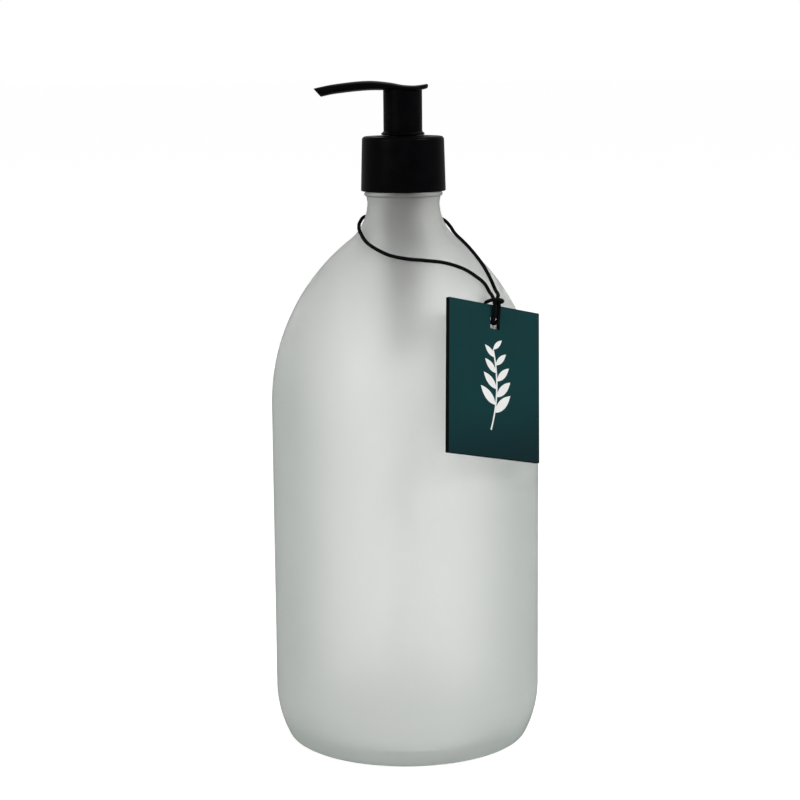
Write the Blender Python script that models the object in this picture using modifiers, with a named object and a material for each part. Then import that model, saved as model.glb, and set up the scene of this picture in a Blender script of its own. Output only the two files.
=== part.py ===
"""Glass pump bottle: a one litre blown bottle with a lock-down lotion pump and a card tag on an elastic cord.

Units are metres and +Z is up. The origin is on the bottle's axis, at the surface that it stands on.
The spout points to -X and the tag hangs at the front right, where front is -Y.
Every turned piece is a profile in the XZ plane that is swept round the Z axis.
"""
import math

import bmesh
import bpy
from mathutils import Matrix, Vector

# Fits
CLEARANCE = 0.0003
MERGE_DISTANCE = 0.00001

# How many times larger than the piece that it cuts a plain cutter is
CUTTER_MARGIN = 6

# Glass bottle
BODY_RADIUS = 0.0475
WALL = 0.0022
HEEL_ARC_RADIUS = 0.038
HEEL_ARC_HEIGHT = 0.019
BASE_CORNER_RADIUS = 0.003
BEARING_WIDTH = 0.0035
PUNT_RISE = 0.002
PUNT_KNEE_INSET = 0.0075
PUNT_KNEE_DROP = 0.0006
FLOOR_THICKNESS = 0.004
FLOOR_CORNER_RADIUS = 0.004
SHOULDER_HEIGHT = 0.1214
SHOULDER_ARC_RADIUS = 0.0736
NECK_RADIUS = 0.0127
NECK_FILLET = 0.0169
NECK_LENGTH = 0.0021
BORE_RADIUS = 0.0084
BORE_FILLET = 0.024
BEAD_RADIUS = 0.0138
BEAD_HEIGHT = 0.0015
BEAD_EDGE = 0.0005
FINISH_RADIUS = 0.0124
FINISH_HEIGHT = 0.0144
RIM_EDGE = 0.0006

# Closure collar
COLLAR_HEIGHT = 0.019
COLLAR_BOTTOM_RADIUS = 0.0149
COLLAR_TOP_RADIUS = 0.0144
COLLAR_WALL = 0.0012
COLLAR_TOP_THICKNESS = 0.0015
COLLAR_HOLE_RADIUS = 0.0097
COLLAR_EDGE_RADIUS = 0.0012

# Neck gasket
GASKET_THICKNESS = 0.001
GASKET_RADIUS = 0.0122

# Pump housing
FLANGE_THICKNESS = 0.0015
FLANGE_RADIUS = 0.012
CHAMBER_RADIUS = 0.0066
CHAMBER_DEPTH = 0.0518
HOUSING_WALL = 0.001
CAGE_RADIUS = 0.0028
CAGE_DEPTH = 0.0058
CAGE_LIP = 0.00065
CAGE_LIP_HEIGHT = 0.0006
INLET_RADIUS = 0.0016
INLET_LENGTH = 0.004
NIPPLE_LENGTH = 0.012
NIPPLE_WALL = 0.0012
HOUSING_TAPER = 0.007

# Dip tube and inlet ball
TUBE_RADIUS = 0.0034
TUBE_WALL = 0.0008
TUBE_FLOOR_GAP = 0.0015
TUBE_CUT_ANGLE = math.radians(25)
BALL_RADIUS = 0.0024

# Return spring
SPRING_RADIUS = 0.0052
SPRING_WIRE_RADIUS = 0.00045
SPRING_LENGTH = 0.0125
SPRING_TURNS = 7
SPRING_STEPS_PER_TURN = 10

# Piston, its seat and the stem
SEAT_RADIUS = 0.0056
SEAT_THICKNESS = 0.0015
SEAT_BOSS_LENGTH = 0.0015
SEAT_SPIGOT_LENGTH = 0.0065
PISTON_LENGTH = 0.006
PISTON_LIP_LENGTH = 0.0008
PISTON_WAIST_DEPTH = 0.0009
PISTON_GROOVE_DEPTH = 0.0011
STEM_RADIUS = 0.0032
STEM_BORE_RADIUS = 0.002
STEM_SOCKET_DEPTH = 0.0118
PORT_RADIUS = 0.0008
PORT_HEIGHT = 0.0022

# Lock ring in the housing's mouth
LOCK_RING_RADIUS = 0.0094
LOCK_RING_SLEEVE_LENGTH = 0.0116
LOCK_RING_FLOOR = 0.0015
LOCK_RING_WALL = 0.001

# Pump head
HEAD_GAP = 0.0005
SKIRT_RADIUS = 0.0068
SKIRT_WALL = 0.0011
SKIRT_HEIGHT = 0.0165
HEAD_FLANGE_RADIUS = 0.0076
HEAD_FLANGE_EDGE = 0.0004
HEAD_FLANGE_HEIGHT = 0.0012
PLUG_LENGTH = 0.009
HEAD_ROOF = 0.0042
SPOUT_CORNER_POWER = 2.8
PLATE_HALF_WIDTH = 0.0075

# The plate's rear lip, which lifts and thins towards its edge
REAR_LIP = 0.0089
REAR_LIP_SHARES = (1.0, 0.97, 0.86, 0.66, 0.4)
REAR_LIP_WIDEST = 0.99
REAR_LIP_STEP = 0.0004
REAR_LIP_LIFT = 0.0007
REAR_LIP_THICKNESS = 0.0016
REAR_LIP_THICKENING = 0.0006

# The spout, as (share of its reach, top and bottom over the skirt's top, share of the plate's extra width)
SPOUT_REACH = 0.0297
SPOUT_SHAPE = (
    (0.00, 0.0007, -0.0012, 1.00),
    (0.12, 0.0014, -0.0012, 0.98),
    (0.24, 0.0019, -0.0011, 0.93),
    (0.38, 0.0022, -0.0011, 0.82),
    (0.54, 0.0020, -0.0014, 0.66),
    (0.70, 0.0015, -0.0019, 0.48),
    (0.84, 0.0009, -0.0024, 0.26),
    (0.94, 0.0002, -0.0029, 0.08),
    (1.00, -0.0003, -0.0032, 0.00),
)
SPOUT_TIP_HALF_WIDTH = 0.0034
SPOUT_TIP_SLANT = 0.0026
SPOUT_SLANT_START = 0.7
SPOUT_CHANNEL_RADIUS = 0.0011
SPOUT_CHANNEL_START = 0.2
CHANNEL_BEND_LOW = 0.0022
CHANNEL_BEND_HIGH = 0.0006

# Card tag
TAG_WIDTH = 0.0425
TAG_HEIGHT = 0.0522
TAG_THICKNESS = 0.0016
TAG_SLOT = 0.0042
TAG_SLOT_MARGIN = 0.004
TAG_AZIMUTH = math.radians(43)
TAG_LEAN = math.radians(12.7)
TAG_ROLL = math.radians(-12.8)
TAG_SHIFT_ACROSS = -0.0035
TAG_SHIFT_UP = -0.0036

# Elastic cord, from the tag's slot round the back of the neck and back to the slot
CORD_RADIUS = 0.000625
CORD_SPACING = 0.0034
ROUTE_SAMPLES = 24
MILLIMETRE = 0.001
CORD_ROUTE_MM = (
    (28.8, -31.1, 153.3), (29.7, -32.0, 154.0), (30.3, -32.4, 155.0), (30.6, -32.1, 156.8),
    (30.7, -31.4, 159.1), (30.4, -30.1, 161.2), (29.9, -25.8, 162.3), (29.3, -21.3, 162.9),
    (28.0, -20.4, 165.2), (25.9, -19.9, 167.3), (20.6, -21.4, 170.9), (14.0, -23.6, 173.3),
    (7.4, -25.3, 174.3), (0.9, -25.7, 175.0), (-5.6, -23.7, 176.3), (-12.2, -16.8, 179.4),
    (-15.1, -8.3, 182.6), (-15.7, -3.3, 184.6), (-15.2, 0.6, 186.0), (-13.9, 4.6, 187.2),
    (-10.2, 10.3, 187.6), (-3.4, 14.1, 187.7), (4.0, 13.9, 187.6), (10.6, 10.2, 187.0),
    (14.3, 5.4, 185.8), (16.4, 0.6, 183.9), (18.0, -2.2, 181.6), (21.1, -4.8, 178.7),
    (23.7, -7.0, 176.0), (26.3, -9.4, 172.8), (28.2, -11.5, 170.0), (29.9, -14.3, 166.8),
    (31.4, -17.2, 163.4), (32.0, -21.0, 162.5), (32.1, -25.2, 162.2), (31.7, -28.8, 161.4),
    (32.2, -30.0, 158.9), (32.0, -30.9, 156.4), (31.8, -31.2, 154.5), (31.1, -30.8, 153.6),
    (30.2, -29.9, 152.9),
)

# Facets round each turned piece
BOTTLE_STEPS = 48
COLLAR_STEPS = 40
HOUSING_STEPS = 32
SMALL_STEPS = 32
TUBE_STEPS = 24
PORT_STEPS = 12
BALL_STEPS = (16, 10)
SECTION_POINTS = 20

# Heights that the pieces share, worked up from the base
NECK_START = SHOULDER_HEIGHT + math.sqrt(
    (SHOULDER_ARC_RADIUS + NECK_FILLET) ** 2
    - (NECK_RADIUS + NECK_FILLET - BODY_RADIUS + SHOULDER_ARC_RADIUS) ** 2
)
BEAD_TOP = NECK_START + NECK_LENGTH + BEAD_HEIGHT
RIM = BEAD_TOP + FINISH_HEIGHT
GASKET_BOTTOM = RIM + CLEARANCE
FLANGE_BOTTOM = GASKET_BOTTOM + GASKET_THICKNESS + CLEARANCE
FLANGE_TOP = FLANGE_BOTTOM + FLANGE_THICKNESS
COLLAR_CEILING = FLANGE_TOP + CLEARANCE
COLLAR_TOP = COLLAR_CEILING + COLLAR_TOP_THICKNESS
COLLAR_BOTTOM = COLLAR_TOP - COLLAR_HEIGHT
CHAMBER_FLOOR = FLANGE_TOP - CHAMBER_DEPTH
CAGE_FLOOR = CHAMBER_FLOOR - CAGE_DEPTH
TUBE_STOP = CAGE_FLOOR - INLET_LENGTH
NIPPLE_BOTTOM = TUBE_STOP - NIPPLE_LENGTH
SPRING_BOTTOM = CHAMBER_FLOOR + CLEARANCE
SEAT_BOTTOM = SPRING_BOTTOM + SPRING_LENGTH + CLEARANCE
SEAT_TOP = SEAT_BOTTOM + SEAT_THICKNESS
PISTON_BOTTOM = SEAT_TOP + CLEARANCE
HEAD_BOTTOM = COLLAR_TOP + HEAD_GAP
HEAD_ROOM = HEAD_BOTTOM + STEM_SOCKET_DEPTH
SKIRT_TOP = HEAD_BOTTOM + SKIRT_HEIGHT
INNER_FLOOR = PUNT_RISE + FLOOR_THICKNESS


def arc(centre, radius, start, end, count):
    """Points (r, z) on an arc, from the start angle to the end angle, both ends included."""
    points = []
    for index in range(count + 1):
        angle = start + (end - start) * index / count
        points.append((centre[0] + radius * math.cos(angle), centre[1] + radius * math.sin(angle)))
    return points


def heel(floor, side_radius, arc_radius, arc_height, corner_radius, counts):
    """A vessel's lower corner, from its side down to its floor: a large arc, then a small one."""
    centre_x = side_radius - arc_radius
    drop = arc_height - floor - corner_radius
    corner_x = centre_x + math.sqrt((arc_radius - corner_radius) ** 2 - drop**2)
    meet = -math.asin(drop / (arc_radius - corner_radius))
    large = arc((centre_x, arc_height), arc_radius, 0, meet, counts[0])
    small = arc((corner_x, floor + corner_radius), corner_radius, meet, -math.pi / 2, counts[1])
    return large + small[1:]


def shoulder(side_radius, arc_radius, fillet, neck_radius, counts):
    """The shoulder from the neck down to the side: a hollow fillet, then the large round arc."""
    centre_x = side_radius - arc_radius
    fillet_x = neck_radius + fillet
    rise = math.sqrt((arc_radius + fillet) ** 2 - (fillet_x - centre_x) ** 2)
    meet = math.atan2(rise, fillet_x - centre_x)
    hollow = arc((fillet_x, SHOULDER_HEIGHT + rise), fillet, math.pi, math.pi + meet, counts[0])
    round_part = arc((centre_x, SHOULDER_HEIGHT), arc_radius, meet, 0, counts[1])
    return hollow + round_part[1:]


def link(obj, cutter=False):
    """Put an object in the bottle's collection, or in the cutters' one."""
    name = "cutters" if cutter else "glass_pump_bottle"
    bpy.data.collections[name].objects.link(obj)
    if cutter:
        obj.hide_render = True
        obj.display_type = "WIRE"
    return obj


def turned(name, profile, steps, closed=True, cutter=False):
    """A turned solid. A profile that doesn't touch the axis is a closed loop."""
    mesh = bpy.data.meshes.new(name)
    shape = bmesh.new()
    corners = [shape.verts.new((r, 0, z)) for r, z in profile]
    for first, second in zip(corners, corners[1:]):
        shape.edges.new((first, second))
    if closed:
        shape.edges.new((corners[-1], corners[0]))
    shape.to_mesh(mesh)
    shape.free()
    obj = link(bpy.data.objects.new(name, mesh), cutter)
    screw = obj.modifiers.new("turn", "SCREW")
    screw.axis = "Z"
    screw.steps = steps
    screw.render_steps = steps
    screw.use_merge_vertices = True
    screw.merge_threshold = MERGE_DISTANCE
    screw.use_smooth_shade = True
    return obj


def tube_curve(name, points, radius):
    """A round wire or tube along a poly line, with filled ends."""
    curve = bpy.data.curves.new(name, "CURVE")
    curve.dimensions = "3D"
    curve.bevel_depth = radius
    curve.bevel_resolution = 2
    curve.use_fill_caps = True
    spline = curve.splines.new("POLY")
    spline.points.add(len(points) - 1)
    for target, point in zip(spline.points, points):
        target.co = (*point, 1)
    return bpy.data.objects.new(name, curve)


def curve_as_mesh(obj):
    """A curve object made into a welded mesh object of the same name."""
    link(obj)
    bpy.context.view_layer.update()
    evaluated = obj.evaluated_get(bpy.context.evaluated_depsgraph_get())
    mesh = bpy.data.meshes.new_from_object(evaluated)
    shape = bmesh.new()
    shape.from_mesh(mesh)
    bmesh.ops.remove_doubles(shape, verts=shape.verts, dist=MERGE_DISTANCE)
    shape.to_mesh(mesh)
    shape.free()
    name = obj.name
    placed = obj.matrix_world.copy()
    bpy.data.objects.remove(obj)
    result = bpy.data.objects.new(name, mesh)
    result.matrix_world = placed
    return result


def boolean(obj, other, operation):
    """Join another mesh object to this one, or cut it away."""
    modifier = obj.modifiers.new(other.name, "BOOLEAN")
    modifier.operation = operation
    modifier.object = other
    modifier.solver = "EXACT"


def block(name, size, cutter=False):
    """A box about its own centre."""
    mesh = bpy.data.meshes.new(name)
    shape = bmesh.new()
    bmesh.ops.create_cube(shape, size=1)
    bmesh.ops.scale(shape, vec=size, verts=shape.verts)
    shape.to_mesh(mesh)
    shape.free()
    return link(bpy.data.objects.new(name, mesh), cutter)


def round_bar(name, radius, length, steps):
    """A plain round cutter about its own centre, along Z."""
    mesh = bpy.data.meshes.new(name)
    shape = bmesh.new()
    bmesh.ops.create_cone(
        shape, cap_ends=True, segments=steps, radius1=radius, radius2=radius, depth=length
    )
    shape.to_mesh(mesh)
    shape.free()
    return link(bpy.data.objects.new(name, mesh), cutter=True)


def finish(obj, colour, roughness, metallic=0.0, transmission=0.0):
    """Give an object its own Principled material."""
    material = bpy.data.materials.new(obj.name)
    material.use_nodes = True
    shader = material.node_tree.nodes["Principled BSDF"]
    shader.inputs["Base Color"].default_value = (*colour, 1)
    shader.inputs["Roughness"].default_value = roughness
    shader.inputs["Metallic"].default_value = metallic
    shader.inputs["Transmission Weight"].default_value = transmission
    obj.data.materials.append(material)
    return obj


def glass_bottle():
    """The blown bottle: screw finish, carrying bead, round shoulder, straight side, hollow base."""
    outside = [
        (FINISH_RADIUS - RIM_EDGE, RIM),
        (FINISH_RADIUS, RIM - RIM_EDGE),
        (FINISH_RADIUS, BEAD_TOP),
        (BEAD_RADIUS - BEAD_EDGE, BEAD_TOP),
        (BEAD_RADIUS, BEAD_TOP - BEAD_EDGE),
        (BEAD_RADIUS, BEAD_TOP - BEAD_HEIGHT + BEAD_EDGE),
        (NECK_RADIUS, BEAD_TOP - BEAD_HEIGHT),
    ]
    outside += shoulder(BODY_RADIUS, SHOULDER_ARC_RADIUS, NECK_FILLET, NECK_RADIUS, (6, 9))
    outside += heel(0, BODY_RADIUS, HEEL_ARC_RADIUS, HEEL_ARC_HEIGHT, BASE_CORNER_RADIUS, (6, 3))
    bearing_edge = outside[-1][0] - BEARING_WIDTH
    knee = (bearing_edge - PUNT_KNEE_INSET, PUNT_RISE - PUNT_KNEE_DROP)
    outside += [(bearing_edge, 0), knee, (0, PUNT_RISE)]
    inner_heel = heel(
        INNER_FLOOR, BODY_RADIUS - WALL, HEEL_ARC_RADIUS - WALL, HEEL_ARC_HEIGHT, FLOOR_CORNER_RADIUS, (4, 3)
    )
    inner_shoulder = shoulder(
        BODY_RADIUS - WALL, SHOULDER_ARC_RADIUS - WALL, BORE_FILLET, BORE_RADIUS, (5, 7)
    )
    inside = [(0, INNER_FLOOR)] + inner_heel[::-1] + inner_shoulder[::-1]
    inside += [(BORE_RADIUS, RIM - RIM_EDGE), (BORE_RADIUS + RIM_EDGE, RIM)]
    bottle = turned("glass_bottle", inside + outside, BOTTLE_STEPS, closed=False)
    finish(bottle, (0.80, 0.84, 0.82), 0.45, transmission=0.6)


def closure_collar():
    """The smooth screw collar, with a slight draught and a hole for the pump in its top."""
    corner = (COLLAR_TOP_RADIUS - COLLAR_EDGE_RADIUS, COLLAR_TOP - COLLAR_EDGE_RADIUS)
    profile = [(COLLAR_HOLE_RADIUS, COLLAR_TOP)]
    profile += arc(corner, COLLAR_EDGE_RADIUS, math.pi / 2, 0, 4)
    profile += [
        (COLLAR_BOTTOM_RADIUS, COLLAR_BOTTOM),
        (COLLAR_BOTTOM_RADIUS - COLLAR_WALL, COLLAR_BOTTOM),
        (COLLAR_BOTTOM_RADIUS - COLLAR_WALL, COLLAR_CEILING),
        (COLLAR_HOLE_RADIUS, COLLAR_CEILING),
    ]
    finish(turned("closure_collar", profile, COLLAR_STEPS), (0.010, 0.010, 0.011), 0.32)


def neck_gasket():
    """The flat foam washer between the glass rim and the pump's flange."""
    bore = CHAMBER_RADIUS + HOUSING_WALL + CLEARANCE
    top = GASKET_BOTTOM + GASKET_THICKNESS
    profile = [(bore, top), (GASKET_RADIUS, top), (GASKET_RADIUS, GASKET_BOTTOM), (bore, GASKET_BOTTOM)]
    finish(turned("neck_gasket", profile, HOUSING_STEPS), (0.75, 0.75, 0.73), 0.8)


def pump_housing():
    """The pump's barrel: flange, chamber, ball cage with its inlet, and a socket for the dip tube."""
    barrel = CHAMBER_RADIUS + HOUSING_WALL
    socket = TUBE_RADIUS + CLEARANCE
    nipple = socket + NIPPLE_WALL
    taper_top = CHAMBER_FLOOR - HOUSING_WALL
    profile = [
        (CHAMBER_RADIUS, FLANGE_TOP),
        (FLANGE_RADIUS, FLANGE_TOP),
        (FLANGE_RADIUS, FLANGE_BOTTOM),
        (barrel, FLANGE_BOTTOM),
        (barrel, taper_top),
        (nipple, taper_top - HOUSING_TAPER),
        (nipple, NIPPLE_BOTTOM),
        (socket, NIPPLE_BOTTOM),
        (socket, TUBE_STOP),
        (INLET_RADIUS, TUBE_STOP),
        (INLET_RADIUS, CAGE_FLOOR),
        (CAGE_RADIUS, CAGE_FLOOR + CAGE_RADIUS - INLET_RADIUS),
        (CAGE_RADIUS, CHAMBER_FLOOR - CAGE_LIP_HEIGHT - CAGE_LIP),
        (CAGE_RADIUS - CAGE_LIP, CHAMBER_FLOOR - CAGE_LIP_HEIGHT),
        (CAGE_RADIUS - CAGE_LIP, CHAMBER_FLOOR),
        (CHAMBER_RADIUS, CHAMBER_FLOOR),
    ]
    finish(turned("pump_housing", profile, HOUSING_STEPS), (0.015, 0.015, 0.016), 0.4)


def dip_tube():
    """The straight suction tube, cut at a slant just above the bottle's floor."""
    bottom = INNER_FLOOR + TUBE_FLOOR_GAP
    top = TUBE_STOP - CLEARANCE
    bore = TUBE_RADIUS - TUBE_WALL
    profile = [(bore, top), (TUBE_RADIUS, top), (TUBE_RADIUS, bottom), (bore, bottom)]
    tube = turned("dip_tube", profile, TUBE_STEPS)
    cut_size = CUTTER_MARGIN * TUBE_RADIUS
    cutter = block("dip_tube_cut", (cut_size, cut_size, cut_size), cutter=True)
    slope = Matrix.Rotation(TUBE_CUT_ANGLE, 4, "Y")
    edge = Vector((TUBE_RADIUS, 0, bottom))
    cutter.matrix_world = Matrix.Translation(edge) @ slope @ Matrix.Translation((0, 0, -cut_size / 2))
    boolean(tube, cutter, "DIFFERENCE")
    finish(tube, (0.72, 0.74, 0.72), 0.35, transmission=0.3)


def inlet_ball():
    """The steel check ball, just clear of its 45 degree seat in the housing's cage."""
    mesh = bpy.data.meshes.new("inlet_ball")
    shape = bmesh.new()
    bmesh.ops.create_uvsphere(
        shape, u_segments=BALL_STEPS[0], v_segments=BALL_STEPS[1], radius=BALL_RADIUS
    )
    shape.to_mesh(mesh)
    shape.free()
    mesh.shade_smooth()
    ball = link(bpy.data.objects.new("inlet_ball", mesh))
    seat_reach = (BALL_RADIUS + CLEARANCE) * math.sqrt(2)
    ball.location = (0, 0, CAGE_FLOOR - INLET_RADIUS + seat_reach)
    finish(ball, (0.60, 0.60, 0.62), 0.2, metallic=1.0)


def return_spring():
    """The coil spring, squeezed to its locked-down length between the chamber's floor and the seat."""
    count = SPRING_TURNS * SPRING_STEPS_PER_TURN
    start = SPRING_BOTTOM + SPRING_WIRE_RADIUS
    rise = SPRING_LENGTH - 2 * SPRING_WIRE_RADIUS
    points = []
    for index in range(count + 1):
        share = index / count
        angle = 2 * math.pi * SPRING_TURNS * share
        points.append(
            (SPRING_RADIUS * math.cos(angle), SPRING_RADIUS * math.sin(angle), start + rise * share)
        )
    spring = link(curve_as_mesh(tube_curve("return_spring", points, SPRING_WIRE_RADIUS)))
    finish(spring, (0.62, 0.62, 0.64), 0.25, metallic=1.0)


def piston_seat():
    """The seat that the spring lifts: a boss in the coil, a disc under the piston, a spigot in the stem."""
    boss = SPRING_RADIUS - SPRING_WIRE_RADIUS - CLEARANCE
    spigot = STEM_BORE_RADIUS - CLEARANCE
    profile = [
        (0, SEAT_TOP + SEAT_SPIGOT_LENGTH),
        (spigot, SEAT_TOP + SEAT_SPIGOT_LENGTH),
        (spigot, SEAT_TOP),
        (SEAT_RADIUS, SEAT_TOP),
        (SEAT_RADIUS, SEAT_BOTTOM),
        (boss, SEAT_BOTTOM),
        (boss, SEAT_BOTTOM - SEAT_BOSS_LENGTH),
        (0, SEAT_BOTTOM - SEAT_BOSS_LENGTH),
    ]
    finish(turned("piston_seat", profile, SMALL_STEPS, closed=False), (0.78, 0.78, 0.76), 0.4)


def piston():
    """The soft piston: two sealing lips on a waist, with a groove behind the upper lip."""
    bore = STEM_RADIUS + CLEARANCE
    lip = CHAMBER_RADIUS - CLEARANCE
    waist = lip - PISTON_WAIST_DEPTH
    top = PISTON_BOTTOM + PISTON_LENGTH
    groove = (bore + lip) / 2
    profile = [
        (bore, top),
        (groove - PISTON_GROOVE_DEPTH / 2, top),
        (groove, top - PISTON_GROOVE_DEPTH),
        (groove + PISTON_GROOVE_DEPTH / 2, top),
        (lip, top),
        (lip, top - PISTON_LIP_LENGTH),
        (waist, top - PISTON_LIP_LENGTH - PISTON_WAIST_DEPTH),
        (waist, PISTON_BOTTOM + PISTON_LIP_LENGTH + PISTON_WAIST_DEPTH),
        (lip, PISTON_BOTTOM + PISTON_LIP_LENGTH),
        (lip, PISTON_BOTTOM),
        (bore, PISTON_BOTTOM),
    ]
    finish(turned("piston", profile, SMALL_STEPS), (0.80, 0.80, 0.78), 0.5)


def pump_stem():
    """The hollow stem from the piston seat up into the head, with ports that the piston covers."""
    bottom = SEAT_TOP + CLEARANCE
    top = HEAD_ROOM - CLEARANCE
    profile = [(STEM_BORE_RADIUS, top), (STEM_RADIUS, top), (STEM_RADIUS, bottom), (STEM_BORE_RADIUS, bottom)]
    stem = turned("pump_stem", profile, SMALL_STEPS)
    cutter = round_bar("stem_ports", PORT_RADIUS, CUTTER_MARGIN * STEM_RADIUS, PORT_STEPS)
    cutter.location = (0, 0, bottom + PORT_HEIGHT)
    cutter.rotation_euler = (0, math.pi / 2, 0)
    boolean(stem, cutter, "DIFFERENCE")
    finish(stem, (0.80, 0.80, 0.78), 0.4)


def lock_ring():
    """The ring in the housing's mouth: it guides the stem, and the head's plug screws down into it."""
    sleeve = CHAMBER_RADIUS - CLEARANCE
    bottom = COLLAR_CEILING - LOCK_RING_SLEEVE_LENGTH
    top = HEAD_BOTTOM - CLEARANCE
    guide = STEM_RADIUS + CLEARANCE
    bore = sleeve - LOCK_RING_WALL
    profile = [
        (bore, top),
        (LOCK_RING_RADIUS, top),
        (LOCK_RING_RADIUS, COLLAR_CEILING),
        (sleeve, COLLAR_CEILING),
        (sleeve, bottom),
        (guide, bottom),
        (guide, bottom + LOCK_RING_FLOOR),
        (bore, bottom + LOCK_RING_FLOOR),
    ]
    finish(turned("lock_ring", profile, HOUSING_STEPS), (0.012, 0.012, 0.013), 0.35)


def spout_stations():
    """Sections along the head's top plate and spout: (x, top, bottom, half width, slant)."""
    rear = []
    for share in REAR_LIP_SHARES:
        width = PLATE_HALF_WIDTH * math.sqrt(1 - (share * REAR_LIP_WIDEST) ** 2)
        thickness = REAR_LIP_THICKNESS + REAR_LIP_THICKENING * (1 - share)
        top = SKIRT_TOP + REAR_LIP_STEP + REAR_LIP_LIFT * share**3
        rear.append((REAR_LIP * share, top, top - thickness, width, 0))
    front = []
    for share, top, bottom, spread in SPOUT_SHAPE:
        width = SPOUT_TIP_HALF_WIDTH + (PLATE_HALF_WIDTH - SPOUT_TIP_HALF_WIDTH) * spread
        slant_share = max(0.0, (share - SPOUT_SLANT_START) / (1 - SPOUT_SLANT_START))
        slant = SPOUT_TIP_SLANT * slant_share**2
        front.append((-SPOUT_REACH * share, SKIRT_TOP + top, SKIRT_TOP + bottom, width, slant))
    return rear + front


def spout_section(station):
    """The rounded-box outline of one section, as points round it."""
    x, top, bottom, half_width, slant = station
    middle = (top + bottom) / 2
    half_height = (top - bottom) / 2
    power = 2 / SPOUT_CORNER_POWER
    points = []
    for index in range(SECTION_POINTS):
        angle = 2 * math.pi * index / SECTION_POINTS
        across = math.copysign(abs(math.cos(angle)) ** power, math.cos(angle))
        up = math.copysign(abs(math.sin(angle)) ** power, math.sin(angle))
        points.append((x - slant * up / 2, half_width * across, middle + half_height * up))
    return points


def spout_body():
    """The top plate and spout, lofted through its sections."""
    mesh = bpy.data.meshes.new("spout_body")
    shape = bmesh.new()
    rings = []
    for station in spout_stations():
        rings.append([shape.verts.new(point) for point in spout_section(station)])
    for ring, following in zip(rings, rings[1:]):
        for index in range(SECTION_POINTS):
            after = (index + 1) % SECTION_POINTS
            shape.faces.new((ring[index], ring[after], following[after], following[index]))
    shape.faces.new(rings[0][::-1])
    shape.faces.new(rings[-1])
    bmesh.ops.recalc_face_normals(shape, faces=shape.faces)
    shape.to_mesh(mesh)
    shape.free()
    return link(bpy.data.objects.new("spout_body", mesh), cutter=True)


def spout_channel():
    """The duct from the stem's top, along the middle of the spout, and out of its tip."""
    points = [
        (0, 0, HEAD_ROOM - SPOUT_CHANNEL_RADIUS),
        (0, 0, SKIRT_TOP - CHANNEL_BEND_LOW),
        (-CHANNEL_BEND_LOW, 0, SKIRT_TOP - CHANNEL_BEND_HIGH),
    ]
    for x, top, bottom, _, _ in spout_stations():
        if x < -SPOUT_REACH * SPOUT_CHANNEL_START:
            points.append((x, 0, (top + bottom) / 2))
    last = Vector(points[-1])
    before = Vector(points[-2])
    points.append(tuple(last + (last - before).normalized() * SPOUT_TIP_SLANT * 2))
    return link(curve_as_mesh(tube_curve("spout_channel", points, SPOUT_CHANNEL_RADIUS)), cutter=True)


def pump_head():
    """The head: skirt with a flared foot, threaded plug with the stem's socket, top plate and spout."""
    inside = SKIRT_RADIUS - SKIRT_WALL
    socket = STEM_RADIUS + CLEARANCE
    plug = CHAMBER_RADIUS - CLEARANCE - LOCK_RING_WALL - CLEARANCE
    plug_bottom = HEAD_BOTTOM - PLUG_LENGTH
    roof = SKIRT_TOP - HEAD_ROOF
    profile = [
        (0, SKIRT_TOP),
        (SKIRT_RADIUS, SKIRT_TOP),
        (SKIRT_RADIUS, HEAD_BOTTOM + HEAD_FLANGE_HEIGHT),
        (HEAD_FLANGE_RADIUS, HEAD_BOTTOM + HEAD_FLANGE_EDGE),
        (HEAD_FLANGE_RADIUS, HEAD_BOTTOM),
        (inside, HEAD_BOTTOM),
        (inside, roof),
        (plug, roof),
        (plug, plug_bottom),
        (socket, plug_bottom),
        (socket, HEAD_ROOM),
        (0, HEAD_ROOM),
    ]
    head = turned("pump_head", profile, COLLAR_STEPS, closed=False)
    boolean(head, spout_body(), "UNION")
    boolean(head, spout_channel(), "DIFFERENCE")
    finish(head, (0.010, 0.010, 0.011), 0.3)


def tag_placement():
    """The tag's centre and turn: its back rests on the shoulder where the shoulder slopes as it leans."""
    outward = Vector(
        (
            math.sin(TAG_AZIMUTH) * math.cos(TAG_LEAN),
            -math.cos(TAG_AZIMUTH) * math.cos(TAG_LEAN),
            math.sin(TAG_LEAN),
        )
    )
    level = Vector((math.cos(TAG_AZIMUTH), math.sin(TAG_AZIMUTH), 0))
    steep = outward.cross(level) * -1
    if steep.z < 0:
        steep.negate()
    across = level * math.cos(TAG_ROLL) + steep * math.sin(TAG_ROLL)
    up = steep * math.cos(TAG_ROLL) - level * math.sin(TAG_ROLL)
    reach = BODY_RADIUS - SHOULDER_ARC_RADIUS + SHOULDER_ARC_RADIUS * math.cos(TAG_LEAN)
    contact = Vector((reach * math.sin(TAG_AZIMUTH), -reach * math.cos(TAG_AZIMUTH), 0))
    contact.z = SHOULDER_HEIGHT + SHOULDER_ARC_RADIUS * math.sin(TAG_LEAN)
    centre = contact + outward * (TAG_THICKNESS / 2 + CLEARANCE)
    centre += level * TAG_SHIFT_ACROSS + steep * TAG_SHIFT_UP
    turn = Matrix((across, -outward, up)).transposed().to_4x4()
    return Matrix.Translation(centre) @ turn


def hang_tag():
    """The thick card tag, with a square slot near its top edge."""
    tag = block("hang_tag", (TAG_WIDTH, TAG_THICKNESS, TAG_HEIGHT))
    cutter = block("tag_slot", (TAG_SLOT, CUTTER_MARGIN * TAG_THICKNESS, TAG_SLOT), cutter=True)
    placed = tag_placement()
    tag.matrix_world = placed
    slot_height = TAG_HEIGHT / 2 - TAG_SLOT_MARGIN - TAG_SLOT / 2
    cutter.matrix_world = placed @ Matrix.Translation((0, 0, slot_height))
    boolean(tag, cutter, "DIFFERENCE")
    finish(tag, (0.012, 0.045, 0.048), 0.6)


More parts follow.
